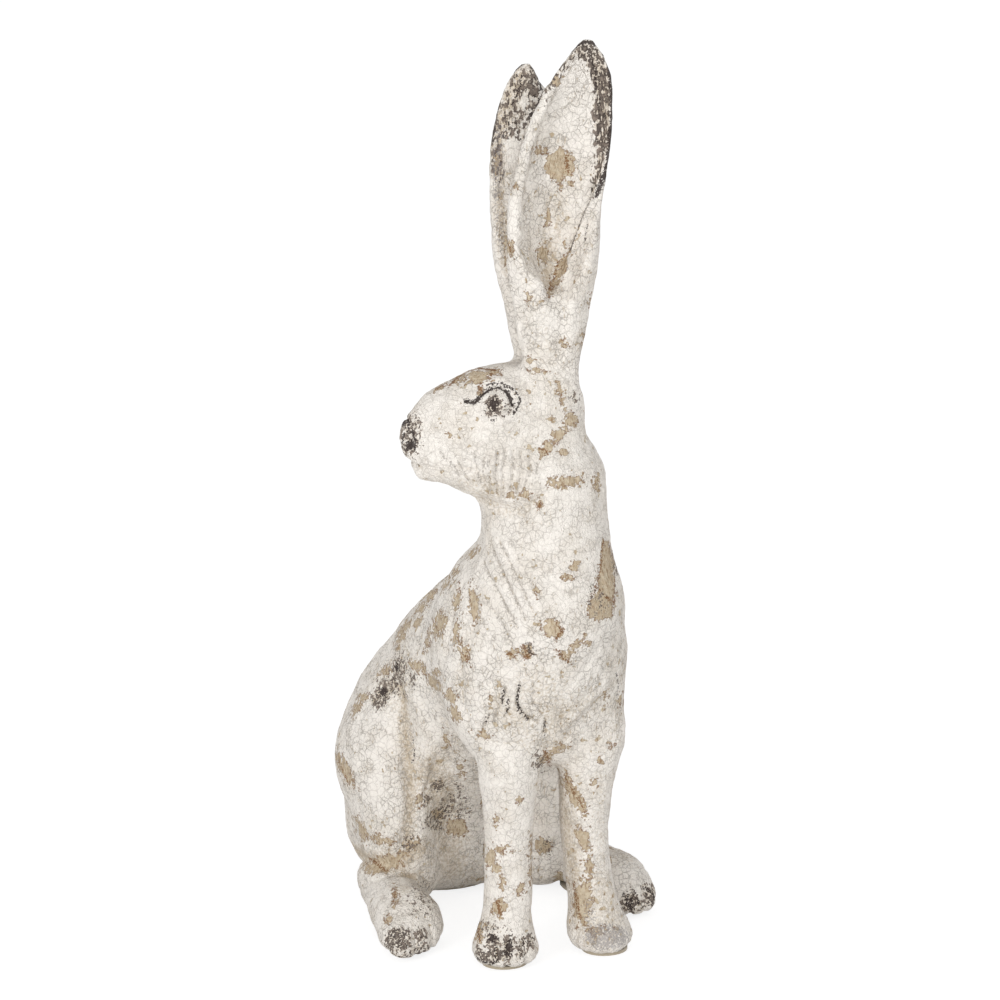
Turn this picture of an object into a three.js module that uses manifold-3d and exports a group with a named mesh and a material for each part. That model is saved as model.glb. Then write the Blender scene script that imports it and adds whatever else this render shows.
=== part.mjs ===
// A sitting hare ornament of cast resin, head turned over its right shoulder, ears upright.
// It goes together as on the workshop bench: hollow castings of the body and the head, solid
// castings of the ears, front legs and hind feet, bonded in sockets over steel rods, a plug in
// the pouring hole and felt under everything that stands on the shelf.
// Millimetres, +Z up. The breast faces -Y, the hare's own left is +X, and the shelf is Z = 0.
import * as THREE from "three";
import { mergeVertices } from "three/addons/utils/BufferGeometryUtils.js";
import Module from "manifold-3d";

const wasm = await Module();
wasm.setup();

// Body.
const bodyLength = 250; // from the breast to the back of the rump
const bodyHeight = 290; // from the shelf to the bond in the neck
const bodyWidth = 150; // over the haunches
const bodyDepth = 150; // through the loins, back to belly
const neckDiameter = 88;
const neckAhead = 127; // neck's axis ahead of the hips

// Head.
const headLength = 125; // from the neck's axis to the nose, and the same back to the nape
const headHeight = 110; // from the bond in the neck to the crown
const headWidth = 68; // over the cheeks
const headTurn = 103; // degrees, over the right shoulder

// Ears.
const leftEarLength = 212; // above the crown
const rightEarLength = 194;
const earWidth = 62;
const earThickness = 31;
const earCupWall = 5; // resin behind the open cup
const earRim = 4;
const earRoot = 20; // set into the skull
const earSpread = 15; // root's axis from the head's middle
const earTipsApart = 56; // across the head
const leftEarBehind = 2; // root's axis behind the neck's axis
const rightEarBehind = 3;
const leftEarSweep = 0; // tip drawn ahead of its root
const rightEarSweep = 29;

// Front legs.
const frontLegWidth = 36;
const frontLegSpread = 29; // leg's axis from the body's middle
const frontLegAhead = 128; // leg's axis ahead of the hips
const leftPawOut = 4; // paw's step out from under its socket
const rightPawOut = 0;
const leftPawForward = 5; // and its step forward
const rightPawForward = 0;
const frontTenonDiameter = 20;
const frontTenonLength = 24;

// Hind feet.
const hindFootLength = 118;
const hindFootWidth = 46;
const hindFootHeight = 42;
const leftFootOut = 9; // foot's axis outside the haunch above it
const rightFootOut = 1;
const hindFootAhead = 100; // tips of the toes ahead of the hips

// Shells, bonds and fittings.
const shellWall = 9;
const bondLine = 0.3; // adhesive between two castings, and round every fitting
const feltThickness = 2;
const spigotDiameter = 46; // on the head, down into the neck
const spigotLength = 22;
const spigotBore = 30;
const earRodDiameter = 3;
const earRodGrip = 8; // rod's end in the skull below the ear's socket
const earRodReach = 46; // rod's end in the ear above the crown
const legRodDiameter = 6;
const legRodGrip = 6; // rod's end in the breast above the leg's tenon
const legRodCover = 14; // resin left under the rod in the paw
const plugDiameter = 50;
const plugFlange = 4; // width and thickness of the step that the plug seats on
const plugBehind = 42; // plug's axis behind the hips

// Facets of the sculpted skins.
const bodyFacet = 11.2;
const headFacet = 6.6;
const hollowFacet = 19;

// Tables of flattened balls strung on a line, as shares of the casting's own sizes.
// Each row: across, ahead, up, half-width, half-depth.
const neckShares = [
  [0, 0, 0.35, 0.46, 0.45],
  [0, 0, 0.05, 0.48, 0.47],
  [0, 0.03, -0.2, 0.49, 0.49],
  [0, 0.04, -0.5, 0.54, 0.58],
];
const breastShares = [
  [0, 0.46, 0.8, 0.38, 0.36],
  [0, 0.45, 0.7, 0.41, 0.38],
  [0, 0.45, 0.6, 0.41, 0.32],
];
const shoulderShares = [
  [0.17, 0.42, 0.7, 0.22, 0.26],
  [0.21, 0.5, 0.55, 0.15, 0.16],
];
const backShares = [
  [0, 0.36, 0.77, 0.34, 0.34],
  [0, 0.22, 0.67, 0.38, 0.38],
  [0, 0.08, 0.56, 0.42, 0.42],
  [0, -0.06, 0.43, 0.45, 0.46],
  [0, -0.15, 0.33, 0.48, 0.47],
  [0, -0.17, 0.17, 0.45, 0.44],
];
const haunchShares = [
  [0.24, -0.06, 0.47, 0.25, 0.28],
  [0.38, -0.03, 0.35, 0.2, 0.31],
  [0.38, 0.04, 0.22, 0.15, 0.24],
  [0.34, 0.04, 0.1, 0.16, 0.2],
];
const tailShares = [
  [0, -0.38, 0.1, 0.12, 0.12],
  [0, -0.42, 0.17, 0.09, 0.1],
];
const craniumShares = [
  [0, 0.05, 0.7, 0.42, 0.28],
  [0, 0.16, 0.74, 0.44, 0.28],
  [0, 0.3, 0.74, 0.41, 0.26],
  [0, 0.5, 0.67, 0.31, 0.23],
  [0, 0.61, 0.6, 0.24, 0.18],
];
const cheekShares = [
  [0.06, 0.06, 0.4, 0.42, 0.26],
  [0.1, 0.32, 0.46, 0.4, 0.24],
  [0.02, 0.54, 0.48, 0.26, 0.16],
];
const eyeShares = [[0.32, 0.25, 0.8, 0.15, 0.1]];
const earBossShares = [
  [0.18, 0, 0.7, 0.2, 0.2],
  [0.21, 0, 0.8, 0.2, 0.205],
];

// Front leg from the socket down to the paw, and hind foot from the heel out to the toes, in
// the same columns: each row is an oval ring round the limb.
const frontLegShares = [
  [0, 0.2, 1, 0.57, 0.54],
  [0, 0.17, 0.88, 0.57, 0.53],
  [-0.03, 0.12, 0.74, 0.5, 0.5],
  [-0.05, 0.08, 0.6, 0.46, 0.47],
  [-0.04, 0.08, 0.45, 0.44, 0.45],
  [-0.02, 0.12, 0.32, 0.44, 0.45],
  [0.03, 0.16, 0.22, 0.46, 0.47],
  [0.08, 0.2, 0.15, 0.53, 0.5],
  [0.12, 0.26, 0.1, 0.6, 0.56],
  [0.13, 0.3, 0.05, 0.62, 0.58],
  [0.13, 0.3, 0, 0.54, 0.5],
];
const hindFootShares = [
  [-0.3, -1, 0.42, 0.2, 0.22],
  [-0.28, -0.95, 0.44, 0.34, 0.36],
  [-0.24, -0.8, 0.45, 0.38, 0.42],
  [-0.12, -0.55, 0.44, 0.42, 0.42],
  [0, -0.35, 0.42, 0.46, 0.44],
  [0.02, -0.22, 0.42, 0.5, 0.47],
  [0.03, -0.12, 0.38, 0.51, 0.46],
  [0.03, -0.04, 0.32, 0.46, 0.4],
  [0.03, 0.01, 0.28, 0.36, 0.3],
  [0.03, 0.03, 0.24, 0.2, 0.16],
];

// Ear from the crown to the tip. Each row: height as a share of the length, front edge and back
// edge as shares of the width, half-thickness as a share of the thickness, the cup's two edges
// as shares of the width, and how much of the thickness there the cup takes.
const earShares = [
  [0, -0.31, 0.28, 0.36, -0.16, 0.18, 0],
  [0.06, -0.35, 0.31, 0.4, -0.16, 0.18, 0],
  [0.19, -0.41, 0.39, 0.44, -0.08, 0.1, 0.05],
  [0.25, -0.45, 0.43, 0.48, -0.15, 0.17, 0.4],
  [0.31, -0.48, 0.46, 0.5, -0.31, 0.27, 0.7],
  [0.38, -0.5, 0.48, 0.5, -0.42, 0.36, 0.9],
  [0.51, -0.48, 0.49, 0.46, -0.44, 0.45, 1],
  [0.67, -0.35, 0.56, 0.38, -0.32, 0.53, 1],
  [0.75, -0.26, 0.58, 0.34, -0.23, 0.55, 1],
  [0.83, -0.14, 0.58, 0.28, -0.11, 0.55, 1],
  [0.9, -0.01, 0.55, 0.22, 0.02, 0.52, 1],
  [0.95, 0.11, 0.5, 0.16, 0.14, 0.47, 0.8],
  [0.98, 0.2, 0.43, 0.12, 0.24, 0.39, 0.5],
  [1, 0.28, 0.36, 0.08, 0.3, 0.34, 0],
];

// Blends between the sculpted lumps.
const breastBlend = 24;
const neckBlend = 16;
const shoulderBlend = 14;
const haunchBlend = 18;
const headBlend = 12;
const eyeBlend = 4;
const earBlend = 8;

// Smooth join of two distances over a width.
function melt(a, b, width) {
  const overlap = Math.max(width - Math.abs(a - b), 0);
  return Math.min(a, b) - (overlap * overlap) / (4 * width);
}

// Signed distance to a strand of flattened balls, or to a pair of them left and right.
function strand(shares, size, origin, paired = false) {
  const balls = shares.map(([across, ahead, up, wide, deep]) => ({
    x: across * size.width,
    y: -ahead * size.length,
    z: up * size.height,
    wide: wide * size.width,
    deep: deep * size.depth,
  }));
  return (px, py, pz) => {
    const x = paired ? Math.abs(px - origin.x) : px - origin.x;
    const y = py - origin.y;
    const z = pz - origin.z;
    let nearest = Infinity;
    for (let i = 0; i < Math.max(balls.length - 1, 1); i++) {
      const a = balls[i];
      const b = balls[Math.min(i + 1, balls.length - 1)];
      const [sx, sy, sz] = [b.x - a.x, b.y - a.y, b.z - a.z];
      const span = sx * sx + sy * sy + sz * sz;
      const along = span ? ((x - a.x) * sx + (y - a.y) * sy + (z - a.z) * sz) / span : 0;
      const t = Math.min(Math.max(along, 0), 1);
      const wide = a.wide + t * (b.wide - a.wide);
      const deep = a.deep + t * (b.deep - a.deep);
      const [dx, dy, dz] = [x - a.x - t * sx, y - a.y - t * sy, z - a.z - t * sz];
      const scaled = Math.hypot(dx / wide, dy / deep, dz / deep);
      const steepness = Math.hypot(dx / (wide * wide), dy / (deep * deep), dz / (deep * deep));
      nearest = Math.min(nearest, steepness ? (scaled * (scaled - 1)) / steepness : -Math.min(wide, deep));
    }
    return nearest;
  };
}

// Facets the surface where a field crosses zero: one corner in each crossed cell, drawn on to
// the surface where it shows.
function skin(sculpture, box, facet, shows = true) {
  const size = box.getSize(new THREE.Vector3());
  const lid = box.clone().expandByScalar(-facet);
  const field = (x, y, z) => {
    const outside = [
      Math.max(lid.min.x - x, x - lid.max.x),
      Math.max(lid.min.y - y, y - lid.max.y),
      Math.max(lid.min.z - z, z - lid.max.z),
    ];
    return Math.max(sculpture(x, y, z), ...outside);
  };
  const [nx, ny, nz] = [size.x, size.y, size.z].map((length) => Math.ceil(length / facet) + 1);
  const point = (i, j, k) => [box.min.x + i * facet, box.min.y + j * facet, box.min.z + k * facet];
  const node = (i, j, k) => i + nx * (j + ny * k);
  const value = new Float64Array(nx * ny * nz);
  for (let k = 0; k < nz; k++) {
    for (let j = 0; j < ny; j++) {
      for (let i = 0; i < nx; i++) value[node(i, j, k)] = field(...point(i, j, k));
    }
  }
  loosen(value, node, [nx, ny, nz]);
  const positions = [];
  const corner = new Map();
  const cornerOf = (i, j, k) => {
    const key = node(i, j, k);
    if (!corner.has(key)) {
      corner.set(key, positions.length / 3);
      const mean = crossing(value, node, point, i, j, k);
      positions.push(...(shows ? drawn(field, mean, facet) : mean));
    }
    return corner.get(key);
  };
  const triangles = [];
  const quad = (a, b, c, d, inward) => {
    triangles.push(...(inward ? [a, b, c, a, c, d] : [a, c, b, a, d, c]));
  };
  for (let k = 1; k < nz - 1; k++) {
    for (let j = 1; j < ny - 1; j++) {
      for (let i = 1; i < nx - 1; i++) {
        const inside = value[node(i, j, k)] < 0;
        if (inside !== value[node(i + 1, j, k)] < 0) {
          const ring = [[-1, -1], [0, -1], [0, 0], [-1, 0]].map(([v, w]) => cornerOf(i, j + v, k + w));
          quad(...ring, inside);
        }
        if (inside !== value[node(i, j + 1, k)] < 0) {
          const ring = [[-1, -1], [-1, 0], [0, 0], [0, -1]].map(([u, w]) => cornerOf(i + u, j, k + w));
          quad(...ring, inside);
        }
        if (inside !== value[node(i, j, k + 1)] < 0) {
          const ring = [[-1, -1], [0, -1], [0, 0], [-1, 0]].map(([u, v]) => cornerOf(i + u, j + v, k));
          quad(...ring, inside);
        }
      }
    }
  }
  return solid(positions, triangles);
}

// Of two inside corners that meet only across the diagonal of a cell's side, the shallower is
// left out, so that the surface never touches itself along an edge.
const cellSides = [
  [[1, 0, 0], [0, 1, 0]],
  [[0, 1, 0], [0, 0, 1]],
  [[0, 0, 1], [1, 0, 0]],
];
function loosen(value, node, [nx, ny, nz]) {
  for (let changed = true; changed; ) {
    changed = false;
    for (let k = 0; k + 1 < nz; k++) {
      for (let j = 0; j + 1 < ny; j++) {
        for (let i = 0; i + 1 < nx; i++) {
          for (const [u, v] of cellSides) {
            const corners = [[0, 0], [1, 0], [1, 1], [0, 1]].map(([s, t]) =>
              node(i + s * u[0] + t * v[0], j + s * u[1] + t * v[1], k + s * u[2] + t * v[2]));
            const [a, b, c, d] = corners.map((corner) => value[corner] < 0);
            if (a !== c || b !== d || a === b) continue;
            const [one, other] = a ? [corners[0], corners[2]] : [corners[1], corners[3]];
            const shallow = value[one] > value[other] ? one : other;
            value[shallow] = -value[shallow];
            changed = true;
          }
        }
      }
    }
  }
}

// Mean of the points where a cell's edges cross the surface.
function crossing(value, node, point, i, j, k) {
  const sum = [0, 0, 0];
  let count = 0;
  for (const [du, dv] of [[0, 0], [1, 0], [0, 1], [1, 1]]) {
    const edges = [
      [[i, j + du, k + dv], [i + 1, j + du, k + dv]],
      [[i + du, j, k + dv], [i + du, j + 1, k + dv]],
      [[i + du, j + dv, k], [i + du, j + dv, k + 1]],
    ];
    for (const [from, to] of edges) {
      const [a, b] = [value[node(...from)], value[node(...to)]];
      if (a < 0 === b < 0) continue;
      const [p, q] = [point(...from), point(...to)];
      for (let axis = 0; axis < 3; axis++) sum[axis] += p[axis] + (a / (a - b)) * (q[axis] - p[axis]);
      count += 1;
    }
  }
  return sum.map((total) => total / count);
}

// Draws a point on to the surface where a field crosses zero.
function drawn(field, point, facet) {
  let p = point;
  const step = facet / 50;
  for (let pass = 0; pass < 3; pass++) {
    const slope = [0, 1, 2].map((axis) => {
      const offset = [0, 1, 2].map((other) => (other === axis ? step : 0));
      const ahead = field(p[0] + offset[0], p[1] + offset[1], p[2] + offset[2]);
      const behind = field(p[0] - offset[0], p[1] - offset[1], p[2] - offset[2]);
      return (ahead - behind) / (2 * step);
    });
    const steep = slope[0] ** 2 + slope[1] ** 2 + slope[2] ** 2;
    if (!steep) break;
    const missing = field(...p) / steep;
    const reach = Math.min(Math.max(missing, -facet / 2), facet / 2);
    p = p.map((coordinate, axis) => coordinate - reach * slope[axis]);
  }
  return p;
}

// A solid from corner positions and triangles.
function solid(positions, triangles) {
  return new wasm.Manifold(new wasm.Mesh({
    numProp: 3,
    vertProperties: new Float32Array(positions),
    triVerts: new Uint32Array(triangles),
  }));
}

// A solid from a closed three.js geometry.
function solidOf(geometry) {
  geometry.deleteAttribute("normal");
  geometry.deleteAttribute("uv");
  const merged = mergeVertices(geometry);
  return solid(merged.getAttribute("position").array, merged.index.array);
}

// An upright cylinder between two heights.
function cylinder(diameter, bottom, top, x, y, sides = 32) {
  const geometry = new THREE.CylinderGeometry(diameter / 2, diameter / 2, top - bottom, sides);
  geometry.rotateX(Math.PI / 2).translate(x, y, (bottom + top) / 2);
  return solidOf(geometry);
}

// A closed skin through rings of points, with a fan over each end.
function loft(rings) {
  const sides = rings[0].length;
  const positions = rings.flat(2);
  const triangles = [];
  for (let r = 0; r + 1 < rings.length; r++) {
    for (let s = 0; s < sides; s++) {
      const [a, b] = [r * sides + s, r * sides + ((s + 1) % sides)];
      triangles.push(a, b, b + sides, a, b + sides, a + sides);
    }
  }
  for (const [r, flip] of [[0, true], [rings.length - 1, false]]) {
    const centre = positions.length / 3;
    for (let axis = 0; axis < 3; axis++) {
      positions.push(rings[r].reduce((sum, point) => sum + point[axis], 0) / sides);
    }
    for (let s = 0; s < sides; s++) {
      const [a, b] = [r * sides + s, r * sides + ((s + 1) % sides)];
      triangles.push(centre, ...(flip ? [b, a] : [a, b]));
    }
  }
  return solid(positions, triangles);
}

// Oval rings round a limb that stands upright, or that lies along the shelf.
const limbSides = 18;
function limbRings(shares, size, origin, upright, growth) {
  return shares.map(([across, ahead, up, wide, deep], row) => {
    const end = row === 0 ? -growth : row === shares.length - 1 ? growth : 0;
    return Array.from({ length: limbSides }, (_, i) => {
      const angle = (2 * Math.PI * (i + 0.5)) / limbSides;
      const x = origin.x + across * size.width + (wide * Math.abs(size.width) + growth) * Math.cos(angle);
      const reach = (deep * size.depth + growth) * Math.sin(angle);
      const y = origin.y - ahead * size.length;
      const z = up * size.height;
      if (upright) return [x, y - reach, Math.max(z, soleHeight - growth) - end];
      return [x, y - end, Math.max(z + reach, soleHeight - growth)];
    });
  });
}

// A slice of space between two heights.
const sliceWidth = 4 * bodyLength;
const slice = (bottom, top) =>
  solidOf(new THREE.BoxGeometry(sliceWidth, sliceWidth, top - bottom).translate(0, 0, (bottom + top) / 2));

// Sizes that the strands share.
const cube = (size) => ({ width: size, length: size, height: size, depth: size });
const trunkSize = { width: bodyWidth, length: bodyLength, height: bodyHeight, depth: bodyDepth };
const headSize = { width: headWidth, length: headLength, height: headHeight, depth: headHeight };
const footSize = {
  width: hindFootWidth,
  length: hindFootLength,
  height: hindFootHeight,
  depth: hindFootHeight,
};
const soleHeight = feltThickness + bondLine;
const legBondShare = 0.51;
const legTop = legBondShare * bodyHeight;
const hips = new THREE.Vector3();
const neck = new THREE.Vector3(0, -neckAhead, bodyHeight);

// The trunk and neck, in the body's frame.
const neckField = strand(neckShares, cube(neckDiameter), neck);
const breastField = strand(breastShares, trunkSize, hips);
const shoulderField = strand(shoulderShares, trunkSize, hips, true);
const backField = strand(backShares, trunkSize, hips);
const haunchField = strand(haunchShares, trunkSize, hips, true);
const tailField = strand(tailShares, trunkSize, hips);
function trunkField(x, y, z) {
  const chest = melt(breastField(x, y, z), shoulderField(x, y, z), shoulderBlend);
  const torso = melt(melt(chest, backField(x, y, z), breastBlend), neckField(x, y, z), neckBlend);
  return melt(melt(torso, haunchField(x, y, z), haunchBlend), tailField(x, y, z), haunchBlend);
}

// The head, in its own frame: origin on the neck's axis at the bond, nose towards -Y.
const headOrigin = new THREE.Vector3();
const craniumField = strand(craniumShares, headSize, headOrigin);
const cheekField = strand(cheekShares, headSize, headOrigin, true);
const eyeField = strand(eyeShares, headSize, headOrigin, true);
const earBossField = strand(earBossShares, headSize, headOrigin, true);
function skullField(x, y, z) {
  const skull = melt(craniumField(x, y, z), cheekField(x, y, z), headBlend);
  return melt(melt(skull, eyeField(x, y, z), eyeBlend), earBossField(x, y, z), earBlend);
}

// The head's frame stands on the body's neck, turned over the right shoulder.
const headFrame = new THREE.Group();
headFrame.position.copy(neck);
headFrame.rotation.z = -THREE.MathUtils.degToRad(headTurn);
const [turnCos, turnSin] = [Math.cos(headFrame.rotation.z), Math.sin(headFrame.rotation.z)];
const toHead = (x, y, z) => {
  const [dx, dy] = [x - neck.x, y - neck.y];
  return [dx * turnCos + dy * turnSin, dy * turnCos - dx * turnSin, z - neck.z];
};
const toBody = (x, y, z) => [
  x * turnCos - y * turnSin + neck.x,
  x * turnSin + y * turnCos + neck.y,
  z + neck.z,
];
const figureField = (x, y, z) => melt(trunkField(x, y, z), skullField(...toHead(x, y, z)), headBlend);
const headField = (x, y, z) => figureField(...toBody(x, y, z));

// A box round a place, by its reach to each side.
const boxAround = (place, width, length, bottom, top) => new THREE.Box3(
  new THREE.Vector3(place.x - width, place.y - length, bottom),
  new THREE.Vector3(place.x + width, place.y + length, top),
);

const resin = new THREE.MeshStandardMaterial({ color: 0xe9e3dc, roughness: 0.85, metalness: 0 });
const steel = new THREE.MeshStandardMaterial({ color: 0x8d9095, roughness: 0.4, metalness: 1 });
const felt = new THREE.MeshStandardMaterial({ color: 0x8a7f70, roughness: 1, metalness: 0 });
const plastic = new THREE.MeshStandardMaterial({ color: 0xd8d2c6, roughness: 0.6, metalness: 0 });
const figure = new THREE.Group();
figure.add(headFrame);

// Adds a solid as a named mesh.
function add(name, piece, material, frame = figure) {
  const mesh = piece.getMesh();
  const geometry = new THREE.BufferGeometry();
  geometry.setAttribute("position", new THREE.BufferAttribute(mesh.vertProperties, 3));
  geometry.setIndex(new THREE.BufferAttribute(mesh.triVerts, 1));
  geometry.computeVertexNormals();
  const part = new THREE.Mesh(geometry, material);
  part.name = name;
  frame.add(part);
}

// Front legs, and what their sockets in the breast take from them.
const sides = [1, -1];
const fitted = 2 * bondLine; // a socket's diameter over the tenon, spigot, plug or rod in it
const pawOut = (side) => (side > 0 ? leftPawOut : rightPawOut);
const pawForward = (side) => (side > 0 ? leftPawForward : rightPawForward);
const legAxis = (side) => new THREE.Vector3(side * frontLegSpread, -frontLegAhead, 0);
const legSize = (side) => ({ ...cube(frontLegWidth), width: side * frontLegWidth, height: legTop });
const socketAhead = frontLegShares[0][1] * frontLegWidth;
function legCasting(side, growth) {
  const rings = limbRings(frontLegShares, legSize(side), legAxis(side), true, growth);
  const splayed = rings.map((ring) => ring.map(([x, y, z]) => {
    const down = 1 - Math.min(z / legTop, 1);
    return [x + side * pawOut(side) * down * down, y - pawForward(side) * down * down, z];
  }));
  return loft(splayed);
}
function legCylinder(side, diameter, bottom, top) {
  const axis = legAxis(side);
  return cylinder(diameter, bottom, top, axis.x, axis.y - socketAhead);
}

// Hind feet.
const footOut = (side) => (side > 0 ? leftFootOut : rightFootOut);
const toes = (side) => new THREE.Vector3(side * (bodyWidth / 2 + footOut(side)), -hindFootAhead, 0);
const sidedFoot = (side) => ({ ...footSize, width: side * hindFootWidth });
const footCasting = (side, growth) =>
  loft(limbRings(hindFootShares, sidedFoot(side), toes(side), false, growth));

// Body casting, hollow, with its sockets and the pouring hole.
const socketWall = shellWall + bondLine;
const socketTopShare = 1.15;
const legSocket = [frontLegShares[1], frontLegShares[0], frontLegShares[0].with(2, socketTopShare)];
const sockets = sides.flatMap((side) => [
  strand(legSocket, legSize(side), legAxis(side)),
  strand(hindFootShares, sidedFoot(side), toes(side)),
]);
const collar = spigotLength + shellWall;
function bodyHollowField(x, y, z) {
  const walls = sockets.map((socket) => socketWall - socket(x, y, z));
  const ends = [z - (bodyHeight - collar), soleHeight + shellWall - z];
  return Math.max(figureField(x, y, z) + shellWall, ...walls, ...ends);
}
const trunkBox = boxAround(hips, bodyWidth, bodyLength, -2 * bodyFacet, bodyHeight + 3 * bodyFacet);
const plugStep = plugDiameter - 2 * plugFlange;
let body = skin(figureField, trunkBox, bodyFacet).intersect(slice(soleHeight, bodyHeight));
const cuts = [
  skin(bodyHollowField, trunkBox, hollowFacet, false),
  cylinder(spigotDiameter + fitted, bodyHeight - 2 * collar, bodyHeight + collar, neck.x, neck.y),
  cylinder(plugDiameter + fitted, 0, soleHeight + plugFlange + bondLine, 0, plugBehind),
  cylinder(plugStep + fitted, 0, soleHeight + 2 * shellWall, 0, plugBehind),
];
for (const side of sides) {
  const tenonTop = legTop + frontTenonLength + bondLine;
  cuts.push(legCasting(side, bondLine));
  cuts.push(legCylinder(side, frontTenonDiameter + fitted, legTop, tenonTop));
  cuts.push(legCylinder(side, legRodDiameter + fitted, legTop, tenonTop + legRodGrip));
  cuts.push(footCasting(side, bondLine));
}
for (const cut of cuts) body = body.subtract(cut);
add("body_casting", body, resin);

// Plug in the pouring hole.
const plug = cylinder(plugDiameter, soleHeight, soleHeight + plugFlange, 0, plugBehind);
add("base_plug", plug.add(cylinder(plugStep, soleHeight, soleHeight + shellWall, 0, plugBehind)), plastic);

// Ears: rings across the head's own length, hollowed on the outer side.
const innerPoints = 10;
const innerShares = Array.from({ length: innerPoints + 1 }, (_, i) => {
  const angle = (Math.PI * i) / innerPoints;
  return -Math.cos(angle);
});
const cupShares = [-1, -0.8, -0.4, 0, 0.4, 0.8, 1];
const earLength = (side) => (side > 0 ? leftEarLength : rightEarLength);
const earSweep = (side) => (side > 0 ? leftEarSweep : rightEarSweep);
const earBehind = (side) => (side > 0 ? leftEarBehind : rightEarBehind);
function earRings(side, growth) {
  const rootShare = -earRoot / earLength(side);
  const rows = [earShares[0].with(0, rootShare), ...earShares];
  return rows.map(([along, front, back, thick, cupFront, cupBack, cupDepth], row) => {
    const bent = Math.max(along, 0) ** 2;
    const x = side * (earSpread + bent * (earTipsApart / 2 - earSpread));
    const y = earBehind(side) - bent * earSweep(side);
    const z = headHeight + along * earLength(side) - (row === 0 ? growth : 0);
    const [middle, half] = [(front + back) / 2, (back - front) / 2];
    const [cupMiddle, cupHalf] = [(cupFront + cupBack) / 2, (cupBack - cupFront) / 2];
    const bulge = (share) => {
      const rim = Math.min(earRim / 2, thick * earThickness);
      return rim + (thick * earThickness - rim) * Math.sqrt(Math.max(1 - share * share, 0)) + growth;
    };
    const across = (share) => y + (middle + share * half) * earWidth + Math.sign(share) * growth;
    const inner = innerShares.map((share) => [x - side * bulge(share), across(share), z]);
    const cup = cupShares.map((place) => (cupMiddle + place * cupHalf - middle) / half);
    const outer = [-1, (cup[0] - 1) / 2, ...cup, (cup.at(-1) + 1) / 2, 1];
    const cupped = outer.map((share, i) => {
      const place = cupShares[i - 2] ?? 1;
      const dip = 2 * cupDepth * bulge(share) * Math.sqrt(1 - place * place);
      const face = Math.min(bulge(share), Math.max(bulge(share) - dip, earCupWall - bulge(share)));
      return [x + side * face, across(share), z];
    });
    const ring = [...inner, ...cupped.reverse()];
    return side > 0 ? ring.reverse() : ring;
  });
}
const earCylinder = (side, diameter, bottom, top) =>
  cylinder(diameter, bottom, top, side * earSpread, earBehind(side), 16);
const rodFoot = headHeight - earRoot - earRodGrip;
const rodTop = headHeight + earRodReach;

// Head casting, hollow, with its spigot and the ears' sockets.
const earSocketShares = [
  [0, 0, 0, 0.28, 0.28],
  [0, 0, 1, 0.28, 0.28],
];
const earSockets = sides.map((side) => {
  const place = new THREE.Vector3(side * earSpread, earBehind(side), headHeight);
  return strand(earSocketShares, { ...cube(earWidth), height: -earRoot }, place);
});
function headHollowField(x, y, z) {
  const walls = earSockets.map((socket) => socketWall - socket(x, y, z));
  return Math.max(headField(x, y, z) + shellWall, shellWall - z, ...walls);
}
const headBox = boxAround(headOrigin, headWidth, headLength, -3 * headFacet, headHeight + earRoot);
const headSlice = slice(bondLine, 2 * headHeight);
let head = skin(headField, headBox, headFacet).intersect(headSlice);
head = head.subtract(skin(headHollowField, headBox, hollowFacet / 2, false));
head = head.add(cylinder(spigotDiameter, -spigotLength, shellWall, 0, 0));
head = head.subtract(cylinder(spigotBore, -2 * spigotLength, 2 * shellWall, 0, 0));
for (const side of sides) {
  head = head.subtract(loft(earRings(side, bondLine)));
  head = head.subtract(earCylinder(side, earRodDiameter + fitted, rodFoot - bondLine, headHeight));
}
add("head_casting", head, resin, headFrame);

for (const [hand, side] of [["left", 1], ["right", -1]]) {
  // Ear and its rod.
  const ear = loft(earRings(side, 0));
  const earBore = earCylinder(side, earRodDiameter + fitted, rodFoot, rodTop + bondLine);
  add(`ear_${hand}_casting`, ear.subtract(earBore), resin, headFrame);
  add(`ear_rod_${hand}`, earCylinder(side, earRodDiameter, rodFoot, rodTop), steel, headFrame);

  // Front leg and its rod.
  const rodEnd = legTop + frontTenonLength + legRodGrip;
  const tenon = legCylinder(side, frontTenonDiameter, legTop - frontTenonLength, legTop + frontTenonLength);
  const legBore = legCylinder(side, legRodDiameter + fitted, legRodCover - bondLine, rodEnd);
  add(`front_leg_${hand}_casting`, legCasting(side, 0).add(tenon).subtract(legBore), resin);
  add(`leg_rod_${hand}`, legCylinder(side, legRodDiameter, legRodCover, rodEnd), steel);

  // Hind foot.
  add(`hind_foot_${hand}_casting`, footCasting(side, 0), resin);
}

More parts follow.
